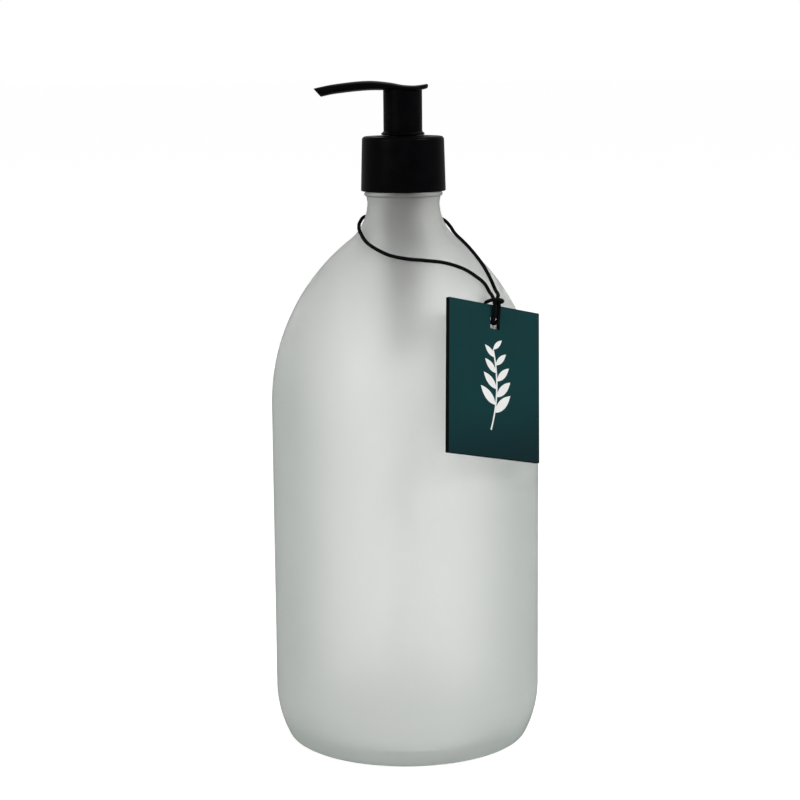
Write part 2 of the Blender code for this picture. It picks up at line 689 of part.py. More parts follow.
def smooth_route(route, spacing):
    """Evenly spaced points on a smooth curve through the route's points."""
    knots = [2 * route[0] - route[1]] + route + [2 * route[-1] - route[-2]]
    dense = []
    for before, start, end, after in zip(knots, knots[1:], knots[2:], knots[3:]):
        for index in range(ROUTE_SAMPLES):
            t = index / ROUTE_SAMPLES
            bend = (2 * before - 5 * start + 4 * end - after) * t * t
            twist = (3 * start - before - 3 * end + after) * t**3
            dense.append((2 * start + (end - before) * t + bend + twist) / 2)
    dense.append(route[-1])
    travelled = [0.0]
    for first, second in zip(dense, dense[1:]):
        travelled.append(travelled[-1] + (second - first).length)
    count = max(2, round(travelled[-1] / spacing))
    points = []
    segment = 0
    for index in range(count + 1):
        target = travelled[-1] * index / count
        while segment < len(dense) - 2 and travelled[segment + 1] < target:
            segment += 1
        share = (target - travelled[segment]) / (travelled[segment + 1] - travelled[segment])
        points.append(dense[segment].lerp(dense[segment + 1], min(1.0, share)))
    return points


def tag_cord():
    """The black elastic loop, which lies on the shoulder and hangs the tag."""
    route = [Vector(point) * MILLIMETRE for point in CORD_ROUTE_MM]
    cord = link(tube_curve("tag_cord", smooth_route(route, CORD_SPACING), CORD_RADIUS))
    finish(cord, (0.010, 0.010, 0.010), 0.7)


def main():
    """Clear the scene, then make the bottle, the pump from the outside in, and the tag."""
    for obj in list(bpy.data.objects):
        bpy.data.objects.remove(obj)
    for name in ("glass_pump_bottle", "cutters"):
        bpy.context.scene.collection.children.link(bpy.data.collections.new(name))
    glass_bottle()
    closure_collar()
    neck_gasket()
    pump_housing()
    dip_tube()
    inlet_ball()
    return_spring()
    piston_seat()
    piston()
    pump_stem()
    lock_ring()
    pump_head()
    hang_tag()
    tag_cord()


main()
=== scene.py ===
"""Frosted glass pump bottle with a card tag on an elastic cord: its looks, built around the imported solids.

Lengths are in metres and +Z is up. The origin is on the bottle's axis, at the surface that it stands on.
The spout points to -X, and the tag hangs at the front right, where front is -Y.
"""

import logging
import math
from collections.abc import Callable, Sequence
from dataclasses import dataclass, field
from enum import Enum

import bmesh
import bpy
from mathutils import Matrix, Vector


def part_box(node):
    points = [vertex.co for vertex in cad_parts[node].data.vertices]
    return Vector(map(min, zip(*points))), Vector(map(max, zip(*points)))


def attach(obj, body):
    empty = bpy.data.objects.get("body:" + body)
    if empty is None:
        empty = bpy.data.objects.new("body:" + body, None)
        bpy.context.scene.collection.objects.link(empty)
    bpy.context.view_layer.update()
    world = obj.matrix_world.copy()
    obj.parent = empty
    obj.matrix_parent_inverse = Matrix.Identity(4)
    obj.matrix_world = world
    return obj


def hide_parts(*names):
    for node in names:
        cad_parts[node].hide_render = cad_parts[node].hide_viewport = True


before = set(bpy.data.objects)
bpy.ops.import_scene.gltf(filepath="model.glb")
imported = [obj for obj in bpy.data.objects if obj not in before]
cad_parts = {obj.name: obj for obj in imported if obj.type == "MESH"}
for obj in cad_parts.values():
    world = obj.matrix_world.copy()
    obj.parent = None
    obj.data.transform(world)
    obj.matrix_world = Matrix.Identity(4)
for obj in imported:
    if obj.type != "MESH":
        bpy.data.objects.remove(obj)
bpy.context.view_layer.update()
LOG = logging.getLogger("pump_bottle")
MILLIMETRE = 0.001
MERGE_DISTANCE = 0.000002

Colour = tuple[float, float, float]
Outline = list[tuple[float, float]]


class Body(Enum):
    """The moving bodies that the pieces ride on."""

    BOTTLE = "bottle"
    SEAL = "neck_seal"
    PUMP = "pump"
    COLLAR = "collar"
    SEAT = "seat"
    PISTON = "piston"
    HEAD = "head"
    BALL = "ball"


class Slot(Enum):
    """The record's material slots."""

    GLASS = "frosted_glass"
    BLACK = "black_plastic"
    HOUSING = "housing_plastic"
    FOAM = "gasket_foam"
    NATURAL = "natural_plastic"
    SOFT = "piston_plastic"
    STEEL = "spring_steel"
    CARD = "teal_card"
    ELASTIC = "elastic_cord"


class Sketch:
    """A short way to add, set and join the nodes of one tree."""

    def __init__(self, tree: bpy.types.NodeTree) -> None:
        """Keep the tree that the nodes go in."""
        self.tree = tree

    def add(self, kind: str, inputs: dict[str | int, object] | None = None, **settings: object) -> bpy.types.Node:
        """Add one node.

        Args:
            kind: The node's type, as Blender names it.
            inputs: Values or other nodes' sockets for its inputs, by name or place.
            settings: Properties of the node itself.

        Returns:
            The new node.
        """
        node = self.tree.nodes.new(kind)
        for name, value in settings.items():
            setattr(node, name, value)
        for name, value in (inputs or {}).items():
            if isinstance(value, bpy.types.NodeSocket):
                self.tree.links.new(value, node.inputs[name])
            else:
                node.inputs[name].default_value = value
        return node

    def math(self, operation: str, *values: object) -> bpy.types.NodeSocket:
        """Add one sum.

        Args:
            operation: The Math node's operation.
            values: Its numbers or sockets, in order.

        Returns:
            The socket that holds the result.
        """
        kind = "ShaderNodeMath"
        return self.add(kind, dict(enumerate(values)), operation=operation).outputs[0]


class SharedGroups:
    """The shader node groups that several finishes use, each built once."""

    @staticmethod
    def _start(name: str, inputs: dict[str, str], outputs: dict[str, str]) -> tuple[Sketch, bpy.types.Node, bpy.types.Node]:
        """Make an empty group with its sockets.

        Args:
            name: The group's name.
            inputs: Its input names and socket types.
            outputs: Its output names and socket types.

        Returns:
            The sketch of its tree, its input node and its output node.
        """
        tree = bpy.data.node_groups.new(name, "ShaderNodeTree")
        for direction, sockets in (("INPUT", inputs), ("OUTPUT", outputs)):
            for label, kind in sockets.items():
                tree.interface.new_socket(label, in_out=direction, socket_type=kind)
        sketch = Sketch(tree)
        return sketch, sketch.add("NodeGroupInput"), sketch.add("NodeGroupOutput")

    @classmethod
    def grain(cls) -> bpy.types.NodeTree:
        """The fine grain of a moulded, etched or pressed surface.

        Returns:
            A group with Vector, Scale and Clouds in, and Height and Mask out.
        """
        name = "surface_grain"
        if name in bpy.data.node_groups:
            return bpy.data.node_groups[name]
        sketch, entry, end = cls._start(
            name,
            {"Vector": "NodeSocketVector", "Scale": "NodeSocketFloat", "Clouds": "NodeSocketFloat"},
            {"Height": "NodeSocketFloat", "Mask": "NodeSocketFloat"},
        )
        fine = sketch.add(
            "ShaderNodeTexNoise",
            {"Vector": entry.outputs["Vector"], "Scale": entry.outputs["Scale"], "Detail": 3.0, "Roughness": 0.6},
        )
        broad = sketch.add(
            "ShaderNodeTexNoise",
            {"Vector": entry.outputs["Vector"], "Scale": entry.outputs["Clouds"], "Detail": 4.0, "Roughness": 0.5},
        )
        sketch.tree.links.new(fine.outputs["Fac"], end.inputs["Height"])
        soft = sketch.add(
            "ShaderNodeMapRange", {"Value": broad.outputs["Fac"], "From Min": 0.3, "From Max": 0.7},
            interpolation_type="SMOOTHSTEP",
        )
        sketch.tree.links.new(soft.outputs["Result"], end.inputs["Mask"])
        return sketch.tree

    @classmethod
    def drift(cls) -> bpy.types.NodeTree:
        """A colour and a roughness that drift between two values by a mask.

        Returns:
            A group with Mask, Base, Other, Smooth and Rough in, and Color and Roughness out.
        """
        name = "tone_drift"
        if name in bpy.data.node_groups:
            return bpy.data.node_groups[name]
        sketch, entry, end = cls._start(
            name,
            {
                "Mask": "NodeSocketFloat",
                "Base": "NodeSocketColor",
                "Other": "NodeSocketColor",
                "Smooth": "NodeSocketFloat",
                "Rough": "NodeSocketFloat",
            },
            {"Color": "NodeSocketColor", "Roughness": "NodeSocketFloat"},
        )
        colour = sketch.add(
            "ShaderNodeMix",
            {0: entry.outputs["Mask"], 6: entry.outputs["Base"], 7: entry.outputs["Other"]},
            data_type="RGBA",
        )
        level = sketch.add(
            "ShaderNodeMapRange",
            {
                "Value": entry.outputs["Mask"],
                "To Min": entry.outputs["Smooth"],
                "To Max": entry.outputs["Rough"],
            },
        )
        sketch.tree.links.new(colour.outputs[2], end.inputs["Color"])
        sketch.tree.links.new(level.outputs["Result"], end.inputs["Roughness"])
        return sketch.tree

    @classmethod
    def rise(cls) -> bpy.types.NodeTree:
        """How far up a point is between two heights.

        Returns:
            A group with Vector, Low and High in, and Share out, from 0 at the low height to 1 at the high one.
        """
        name = "height_share"
        if name in bpy.data.node_groups:
            return bpy.data.node_groups[name]
        sketch, entry, end = cls._start(
            name,
            {"Vector": "NodeSocketVector", "Low": "NodeSocketFloat", "High": "NodeSocketFloat"},
            {"Share": "NodeSocketFloat"},
        )
        parts = sketch.add("ShaderNodeSeparateXYZ", {0: entry.outputs["Vector"]})
        share = sketch.add(
            "ShaderNodeMapRange",
            {"Value": parts.outputs["Z"], "From Min": entry.outputs["Low"], "From Max": entry.outputs["High"]},
            interpolation_type="SMOOTHSTEP",
        )
        sketch.tree.links.new(share.outputs["Result"], end.inputs["Share"])
        return sketch.tree


@dataclass(frozen=True)
class Finish:
    """A surface: a colour that drifts to a second one, a roughness range, and a fine grain."""

    name: str
    colour: Colour
    second: Colour
    smooth: float
    rough: float
    grain_scale: float
    cloud_scale: float
    relief: float
    metallic: float = 0.0
    specular: float = 0.5

    def material(self) -> bpy.types.Material:
        """Build the material once, and give the same one after that.

        Returns:
            The material.
        """
        found = bpy.data.materials.get(self.name)
        if found is not None:
            return found
        material = bpy.data.materials.new(self.name)
        material.use_nodes = True
        material.diffuse_color = (*self.colour, 1)
        sketch = Sketch(material.node_tree)
        shader = material.node_tree.nodes["Principled BSDF"]
        shader.inputs["Metallic"].default_value = self.metallic
        shader.inputs["Specular IOR Level"].default_value = self.specular
        self.dress(sketch, shader)
        return material

    def coordinates(self, sketch: Sketch) -> bpy.types.NodeSocket:
        """The object's own coordinates, in metres."""
        return sketch.add("ShaderNodeTexCoord").outputs["Object"]

    def grain(self, sketch: Sketch, place: bpy.types.NodeSocket) -> bpy.types.Node:
        """Add the shared grain with this finish's scales."""
        node = sketch.add("ShaderNodeGroup", node_tree=SharedGroups.grain())
        sketch.tree.links.new(place, node.inputs["Vector"])
        node.inputs["Scale"].default_value = self.grain_scale
        node.inputs["Clouds"].default_value = self.cloud_scale
        return node

    def drift(self, sketch: Sketch, mask: bpy.types.NodeSocket) -> bpy.types.Node:
        """Add the shared drift with this finish's colours and roughness range."""
        node = sketch.add("ShaderNodeGroup", node_tree=SharedGroups.drift())
        sketch.tree.links.new(mask, node.inputs["Mask"])
        node.inputs["Base"].default_value = (*self.colour, 1)
        node.inputs["Other"].default_value = (*self.second, 1)
        node.inputs["Smooth"].default_value = self.smooth
        node.inputs["Rough"].default_value = self.rough
        return node

    def climb(
        self, sketch: Sketch, place: bpy.types.NodeSocket, low: float, high: float
    ) -> bpy.types.NodeSocket:
        """Add the shared height share between two heights."""
        node = sketch.add("ShaderNodeGroup", node_tree=SharedGroups.rise())
        sketch.tree.links.new(place, node.inputs["Vector"])
        node.inputs["Low"].default_value = low
        node.inputs["High"].default_value = high
        return node.outputs["Share"]

    def bump(self, sketch: Sketch, shader: bpy.types.Node, height: bpy.types.NodeSocket) -> None:
        """Turn a height into the shader's normal, as deep as this finish's relief."""
        node = sketch.add("ShaderNodeBump", {"Height": height, "Strength": 1.0, "Distance": self.relief})
        sketch.tree.links.new(node.outputs["Normal"], shader.inputs["Normal"])

    def dress(self, sketch: Sketch, shader: bpy.types.Node) -> None:
        """Feed the shader's colour, roughness and normal.

        Args:
            sketch: The material's tree.
            shader: Its Principled shader.
        """
        grain = self.grain(sketch, self.coordinates(sketch))
        drift = self.drift(sketch, grain.outputs["Mask"])
        sketch.tree.links.new(drift.outputs["Color"], shader.inputs["Base Color"])
        sketch.tree.links.new(drift.outputs["Roughness"], shader.inputs["Roughness"])
        self.bump(sketch, shader, grain.outputs["Height"])


@dataclass(frozen=True)
class FrostedGlass(Finish):
    """Clear glass with a faint green body, etched where the mesh's frost attribute is 1, with painted shade at its
    edges and on its neck.
    """

    clear_roughness: float = 0.20
    absorbed: Colour = (0.90, 0.94, 0.915)
    density: float = 8.0
    index: float = 1.5
    clarity: float = 0.84
    # Painted shade: the edge colour darkens the base colour where the glass turns away from the view, eased on the
    # shoulder between its two heights.
    edge_shade: Colour = (0.74, 0.775, 0.75)
    edge_start: float = 0.04
    edge_full: float = 0.55
    shoulder_low: float = 0.115
    shoulder_high: float = 0.165
    shoulder_ease: float = 0.7
    # Painted shade: the neck colour darkens the base colour again on the neck, between its two heights.
    neck_low: float = 0.172
    neck_high: float = 0.195
    neck_shade: Colour = (0.80, 0.80, 0.78)

    def dress(self, sketch: Sketch, shader: bpy.types.Node) -> None:
        """Feed the glass: etched outside, clear inside, coloured through its thickness, and with painted shade at its
        edges and on its neck.

        Args:
            sketch: The material's tree.
            shader: Its Principled shader.
        """
        place = self.coordinates(sketch)
        grain = self.grain(sketch, place)
        drift = self.drift(sketch, grain.outputs["Mask"])
        # Painted shade at the edges: the base colour is darkened where the surface turns away from the view, less on
        # the shoulder.
        climb = self.climb(sketch, place, self.shoulder_low, self.shoulder_high)
        eased = sketch.math("SUBTRACT", 1.0, sketch.math("MULTIPLY", climb, self.shoulder_ease))
        turned_away = sketch.add("ShaderNodeLayerWeight", {"Blend": 0.5}).outputs["Facing"]
        edge = sketch.add(
            "ShaderNodeMapRange",
            {"Value": turned_away, "From Min": self.edge_start, "From Max": self.edge_full},
            interpolation_type="SMOOTHSTEP",
        )
        edge_shaded = sketch.add(
            "ShaderNodeMix",
            {0: sketch.math("MULTIPLY", edge.outputs["Result"], eased), 6: drift.outputs["Color"], 7: (*self.edge_shade, 1)},
            data_type="RGBA",
            blend_type="MULTIPLY",
        )
        # Painted shade on the neck: the colour darkens again between the neck heights; this is shade, not thicker
        # glass.
        thick = sketch.add(
            "ShaderNodeMix",
            {
                0: self.climb(sketch, place, self.neck_low, self.neck_high),
                6: edge_shaded.outputs[2],
                7: (*self.neck_shade, 1),
            },
            data_type="RGBA",
            blend_type="MULTIPLY",
        )
        sketch.tree.links.new(thick.outputs[2], shader.inputs["Base Color"])
        frost = sketch.add("ShaderNodeAttribute", attribute_name="frost").outputs["Fac"]
        rough = sketch.add(
            "ShaderNodeMapRange",
            {"Value": frost, "To Min": self.clear_roughness, "To Max": drift.outputs["Roughness"]},
        )
        sketch.tree.links.new(rough.outputs["Result"], shader.inputs["Roughness"])
        self.bump(sketch, shader, sketch.math("MULTIPLY", grain.outputs["Height"], frost))
        shader.inputs["Transmission Weight"].default_value = self.clarity
        shader.inputs["IOR"].default_value = self.index
        volume = sketch.add("ShaderNodeVolumeAbsorption")
        volume.inputs["Color"].default_value = (*self.absorbed, 1)
        volume.inputs["Density"].default_value = self.density
        output = sketch.tree.nodes["Material Output"]
        sketch.tree.links.new(volume.outputs["Volume"], output.inputs["Volume"])


@dataclass(frozen=True)
class MilkyPlastic(Finish):
    """Natural plastic that light enters a little way."""

    scatter: float = 0.35
    reach: float = 0.0008

    def dress(self, sketch: Sketch, shader: bpy.types.Node) -> None:
        """Add the light inside the plastic to the plain finish."""
        super().dress(sketch, shader)
        shader.inputs["Subsurface Weight"].default_value = self.scatter
        shader.inputs["Subsurface Scale"].default_value = self.reach


@dataclass(frozen=True)
class CoatedCard(Finish):
    """Matt coated card, a little darker towards its foot."""

    low: float = 0.104
    high: float = 0.132
    foot: Colour = (0.0048, 0.0215, 0.0255)

    def dress(self, sketch: Sketch, shader: bpy.types.Node) -> None:
        """Feed the card's face: fibre, drift, and the darker foot.

        Args:
            sketch: The material's tree.
            shader: Its Principled shader.
        """
        place = self.coordinates(sketch)
        grain = self.grain(sketch, place)
        drift = self.drift(sketch, grain.outputs["Mask"])
        share = self.climb(sketch, place, self.low, self.high)
        mixed = sketch.add(
            "ShaderNodeMix",
            {0: share, 6: (*self.foot, 1), 7: drift.outputs["Color"]},
            data_type="RGBA",
        )
        sketch.tree.links.new(mixed.outputs[2], shader.inputs["Base Color"])
        sketch.tree.links.new(drift.outputs["Roughness"], shader.inputs["Roughness"])
        self.bump(sketch, shader, grain.outputs["Height"])


@dataclass(frozen=True)
class BraidedElastic(Finish):
    """Braided elastic: two sets of strands that cross round the cord, read from its own map."""

    strands: int = 6
    pitch: float = 0.0016

    def dress(self, sketch: Sketch, shader: bpy.types.Node) -> None:
        """Feed the cord: raised strands both ways, with painted shade that darkens the grooves.

        Args:
            sketch: The material's tree.
            shader: Its Principled shader.
        """
        unwrapped = sketch.add("ShaderNodeUVMap", uv_map="along_and_round").outputs["UV"]
        parts = sketch.add("ShaderNodeSeparateXYZ", {0: unwrapped})
        along = sketch.math("MULTIPLY", parts.outputs["X"], math.tau / self.pitch)
        round_cord = sketch.math("MULTIPLY", parts.outputs["Y"], math.tau * self.strands)
        right = sketch.math("SINE", sketch.math("ADD", along, round_cord))
        left = sketch.math("SINE", sketch.math("SUBTRACT", along, round_cord))
        height = sketch.math("MAXIMUM", right, left)
        level = sketch.add("ShaderNodeMapRange", {"Value": height, "From Min": -0.6, "From Max": 1.0})
        # Painted shade: the colour follows the strand height, darker in the grooves.
        drift = self.drift(sketch, level.outputs["Result"])
        sketch.tree.links.new(drift.outputs["Color"], shader.inputs["Base Color"])
        sketch.tree.links.new(drift.outputs["Roughness"], shader.inputs["Roughness"])
        self.bump(sketch, shader, level.outputs["Result"])


@dataclass(frozen=True)
class CellFoam(Finish):
    """Foamed sheet with small closed cells."""

    def dress(self, sketch: Sketch, shader: bpy.types.Node) -> None:
        """Feed the foam: cells in the relief and the colour, where the colour's darker cell hollows are painted shade.
        """
        place = self.coordinates(sketch)
        cells = sketch.add("ShaderNodeTexVoronoi", {"Vector": place, "Scale": self.grain_scale})
        # Painted shade: the colour follows the cell distance, darker in each cell's low middle.
        drift = self.drift(sketch, cells.outputs["Distance"])
        sketch.tree.links.new(drift.outputs["Color"], shader.inputs["Base Color"])
        sketch.tree.links.new(drift.outputs["Roughness"], shader.inputs["Roughness"])
        self.bump(sketch, shader, cells.outputs["Distance"])


@dataclass(frozen=True)
class DrawnSteel(Finish):
    """Bright drawn wire with fine marks along its turns."""

    stretch: float = 14.0

    def dress(self, sketch: Sketch, shader: bpy.types.Node) -> None:
        """Feed the steel: marks that are long round the axis and short along it."""
        place = sketch.add("ShaderNodeMapping", {"Vector": self.coordinates(sketch), "Scale": (1, 1, self.stretch)})
        grain = self.grain(sketch, place.outputs["Vector"])
        drift = self.drift(sketch, grain.outputs["Mask"])
        sketch.tree.links.new(drift.outputs["Color"], shader.inputs["Base Color"])
        sketch.tree.links.new(drift.outputs["Roughness"], shader.inputs["Roughness"])
        self.bump(sketch, shader, grain.outputs["Height"])


GLASS = FrostedGlass("etched_glass", (0.913, 0.918, 0.908), (0.932, 0.937, 0.927), 0.58, 0.66, 2500, 60, 0.00002)
BLACK = Finish("black_satin_plastic", (0.0008, 0.0008, 0.0012), (0.0016, 0.0016, 0.0021), 0.30, 0.38, 3000, 160,
               0.00001, specular=0.03)
BARREL = Finish("dark_barrel_plastic", (0.012, 0.012, 0.013), (0.018, 0.018, 0.019), 0.40, 0.50, 2600, 140, 0.00001,
                specular=0.3)
NATURAL = MilkyPlastic("natural_milky_plastic", (0.74, 0.77, 0.75), (0.80, 0.82, 0.80), 0.32, 0.42, 2200, 120, 0.00001)
SOFT = MilkyPlastic("soft_seal_plastic", (0.80, 0.80, 0.77), (0.85, 0.85, 0.83), 0.45, 0.55, 2200, 150, 0.00001)
FOAM = CellFoam("closed_cell_foam", (0.66, 0.66, 0.63), (0.80, 0.80, 0.78), 0.75, 0.9, 2400, 200, 0.00006)
STEEL = DrawnSteel("bright_drawn_steel", (0.60, 0.60, 0.62), (0.70, 0.70, 0.71), 0.20, 0.34, 1500, 300, 0.000004,
                   metallic=1.0)
CARD = CoatedCard("teal_coated_card", (0.0052, 0.0385, 0.0415), (0.0062, 0.0430, 0.0460), 0.60, 0.72, 3200, 90, 0.000012,
                  specular=0.06)
CORE = Finish("black_card_core", (0.002, 0.002, 0.0025), (0.004, 0.004, 0.0045), 0.75, 0.9, 3600, 260, 0.00003,
              specular=0.05)
INK = Finish("white_print", (0.86, 0.86, 0.84), (0.90, 0.90, 0.885), 0.45, 0.6, 4200, 220, 0.000006)
ELASTIC = BraidedElastic("black_braided_elastic", (0.002, 0.002, 0.002), (0.007, 0.007, 0.0075), 0.95, 0.7, 3000, 100,
                         0.00006, specular=0.03)


class Shapes:
    """Small mesh helpers that every sub-assembly uses."""

    @staticmethod
    def arc(centre: tuple[float, float], radius: float, start: float, end: float, count: int) -> Outline:
        """Points (r, z) on an arc, both ends included."""
        turns = [start + (end - start) * index / count for index in range(count + 1)]
        return [(centre[0] + radius * math.cos(turn), centre[1] + radius * math.sin(turn)) for turn in turns]

    @staticmethod
    def line(start: tuple[float, float], end: tuple[float, float], count: int) -> Outline:
        """Points (r, z) on a straight stretch, both ends included."""
        shares = [index / count for index in range(count + 1)]
        return [(start[0] + (end[0] - start[0]) * t, start[1] + (end[1] - start[1]) * t) for t in shares]

    @staticmethod
    def add(name: str, mesh: bpy.types.Mesh) -> bpy.types.Object:
        """Put a mesh in the scene as an object of its own."""
        obj = bpy.data.objects.new(name, mesh)
        bpy.context.scene.collection.objects.link(obj)
        return obj

    @staticmethod
    def smooth(obj: bpy.types.Object, angle: float = 35.0) -> bpy.types.Object:
        """Shade an object smooth, but for the edges sharper than an angle in degrees."""
        obj.data.shade_smooth()
        obj.data.set_sharp_from_angle(angle=math.radians(angle))
        return obj

    @classmethod
    def turned(
        cls,
        name: str,
        outline: Outline,
        steps: int,
        closed: bool = True,
        swell: Callable[[float, float, float], float] | None = None,
        marks: Sequence[float] = (),
    ) -> bpy.types.Object:
        """Turn an outline round the Z axis into one closed mesh.

        Args:
            name: The object's name.
            outline: Points (radius, height). Ends on the axis close by themselves.
            steps: Facets round the turn.
            closed: Whether the outline's last point joins its first.
            swell: Adds to the radius at (angle, radius, height), for a thread.
            marks: A frost value for each point of the outline.

        Returns:
            The turned object.
        """
        shape = bmesh.new()
        layer = shape.verts.layers.float.new("frost") if marks else None
        rings: list[list[bmesh.types.BMVert]] = []
        for number, (radius, height) in enumerate(outline):
            ring = []
            for index in range(1 if radius == 0 else steps):
                angle = math.tau * index / steps
                reach = radius + (swell(angle, radius, height) if swell else 0)
                vert = shape.verts.new((reach * math.cos(angle), reach * math.sin(angle), height))
                if layer is not None:
                    vert[layer] = marks[number]
                ring.append(vert)
            rings.append(ring)
        pairs = list(zip(rings, rings[1:])) + ([(rings[-1], rings[0])] if closed else [])
        for first, second in pairs:
            for index in range(steps):
                after = (index + 1) % steps
                corners = [first[index % len(first)], first[after % len(first)]]
                corners += [second[after % len(second)], second[index % len(second)]]
                unique = list(dict.fromkeys(corners))
                if len(unique) > 2:
                    shape.faces.new(unique)
        bmesh.ops.recalc_face_normals(shape, faces=shape.faces)
        mesh = bpy.data.meshes.new(name)
        shape.to_mesh(mesh)
        shape.free()
        return cls.smooth(cls.add(name, mesh))

    @staticmethod
    def evaluated(obj: bpy.types.Object, name: str) -> bpy.types.Object:
        """Make an object with modifiers into a plain mesh object.

        Args:
            obj: The object, which is removed.
            name: The plain object's name.

        Returns:
            The plain object, with its place in its mesh.
        """
        bpy.context.view_layer.update()
        result = obj.evaluated_get(bpy.context.evaluated_depsgraph_get())
        mesh = bpy.data.meshes.new_from_object(result)
        mesh.transform(obj.matrix_world)
        bpy.data.objects.remove(obj)
        mesh.name = name
        return Shapes.add(name, mesh)

    @classmethod
    def joined(cls, obj: bpy.types.Object, others: Sequence[bpy.types.Object], operation: str) -> bpy.types.Object:
        """Unite other objects with this one, or cut them away.

        Args:
            obj: The object that is changed.
            others: The other objects, which are removed.
            operation: UNION or DIFFERENCE.

        Returns:
            The plain result.
        """
        name = obj.name
        for other in others:
            modifier = obj.modifiers.new(other.name, "BOOLEAN")
            modifier.operation = operation
            modifier.solver = "EXACT"
            modifier.object = other
        obj.name = name + "_raw"
        result = cls.evaluated(obj, name)
        for other in others:
            bpy.data.objects.remove(other)
        return result

    @staticmethod
    def smooth_route(route: Sequence[Vector], spacing: float) -> list[Vector]:
        """Evenly spaced points on a smooth curve through a route's points.

        Args:
            route: The points that the curve goes through.
            spacing: The wanted distance between the new points.

        Returns:
            The new points, first and last as in the route.
        """
        knots = [2 * route[0] - route[1], *route, 2 * route[-1] - route[-2]]
        dense = []
        for before, start, end, after in zip(knots, knots[1:], knots[2:], knots[3:]):
            for index in range(24):
                t = index / 24
                bend = (2 * before - 5 * start + 4 * end - after) * t * t
                twist = (3 * start - before - 3 * end + after) * t**3
                dense.append((2 * start + (end - before) * t + bend + twist) / 2)
        dense.append(route[-1])
        travelled = [0.0]
        for first, second in zip(dense, dense[1:]):
            travelled.append(travelled[-1] + (second - first).length)
        count = max(2, round(travelled[-1] / spacing))
        points = []
        segment = 0
        for index in range(count + 1):
            target = travelled[-1] * index / count
            while segment < len(dense) - 2 and travelled[segment + 1] < target:
                segment += 1
            share = (target - travelled[segment]) / (travelled[segment + 1] - travelled[segment])
            points.append(dense[segment].lerp(dense[segment + 1], min(1.0, share)))
        return points

    @classmethod
    def tube(cls, name: str, points: Sequence[Vector], radius: float, sides: int, round_end: int = 3) -> bpy.types.Object:
        """Sweep a round tube along points, with domed ends and a map of length along and share round.

        Args:
            name: The object's name.
            points: The centre line.
            radius: The tube's radius.
            sides: Facets round it.
            round_end: Rings in each domed end.

        Returns:
            The closed tube.
        """
        shape = bmesh.new()
        layer = shape.loops.layers.uv.new("along_and_round")
        tangents = [(points[min(i + 1, len(points) - 1)] - points[max(i - 1, 0)]).normalized() for i in range(len(points))]
        across = tangents[0].orthogonal().normalized()
        stations: list[tuple[Vector, Vector, Vector, float, float]] = []
        travelled = 0.0
        for number, (point, tangent) in enumerate(zip(points, tangents)):
            if number:
                across = (tangents[number - 1].rotation_difference(tangent) @ across).normalized()
                travelled += (point - points[number - 1]).length
            stations.append((point, across, tangent.cross(across), radius, travelled))
        domes = [math.pi / 2 * step / (round_end + 1) for step in range(1, round_end + 1)]
        first, last = stations[0], stations[-1]
        head = [
            (first[0] - tangents[0] * radius * math.sin(t), first[1], first[2], radius * math.cos(t), -radius * t)
            for t in reversed(domes)
        ]
        tail = [
            (last[0] + tangents[-1] * radius * math.sin(t), last[1], last[2], radius * math.cos(t), last[4] + radius * t)
            for t in domes
        ]
        stations = head + stations + tail
        rings = []
        for centre, side, other, reach, _ in stations:
            turns = [math.tau * index / sides for index in range(sides)]
            rings.append([shape.verts.new(centre + (side * math.cos(t) + other * math.sin(t)) * reach) for t in turns])
        for number in range(len(rings) - 1):
            for index in range(sides):
                after = (index + 1) % sides
                corners = (rings[number][index], rings[number][after], rings[number + 1][after], rings[number + 1][index])
                face = shape.faces.new(corners)
                shares = (index / sides, (index + 1) / sides, (index + 1) / sides, index / sides)
                lengths = (stations[number][4], stations[number][4], stations[number + 1][4], stations[number + 1][4])
                for loop, share, length in zip(face.loops, shares, lengths):
                    loop[layer].uv = (length, share)
        shape.faces.new(rings[0][::-1])
        shape.faces.new(rings[-1])
        bmesh.ops.recalc_face_normals(shape, faces=shape.faces)
        mesh = bpy.data.meshes.new(name)
        shape.to_mesh(mesh)
        shape.free()
        return cls.smooth(cls.add(name, mesh), 60)

    @staticmethod
    def settle(obj: bpy.types.Object, body: Body, slot: Slot, finish: Finish | None, nodes: Sequence[str] = ()) -> bpy.types.Object:
        """Give a finished piece its material and body, and hide the CAD nodes that it stands for.

        Args:
            obj: The piece, with its place in its mesh.
            body: The body that it rides on.
            slot: The record's slot that its finish comes from; not used.
            finish: Its finish, or None where its faces have theirs already.
            nodes: The CAD nodes that it replaces.

        Returns:
            The same piece.
        """
        if finish is not None:
            obj.data.materials.clear()
            obj.data.materials.append(finish.material())
        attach(obj, body.value)
        if nodes:
            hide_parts(*nodes)
        LOG.info("%s: %d faces, rides on %s", obj.name, len(obj.data.polygons), body.value)
        return obj


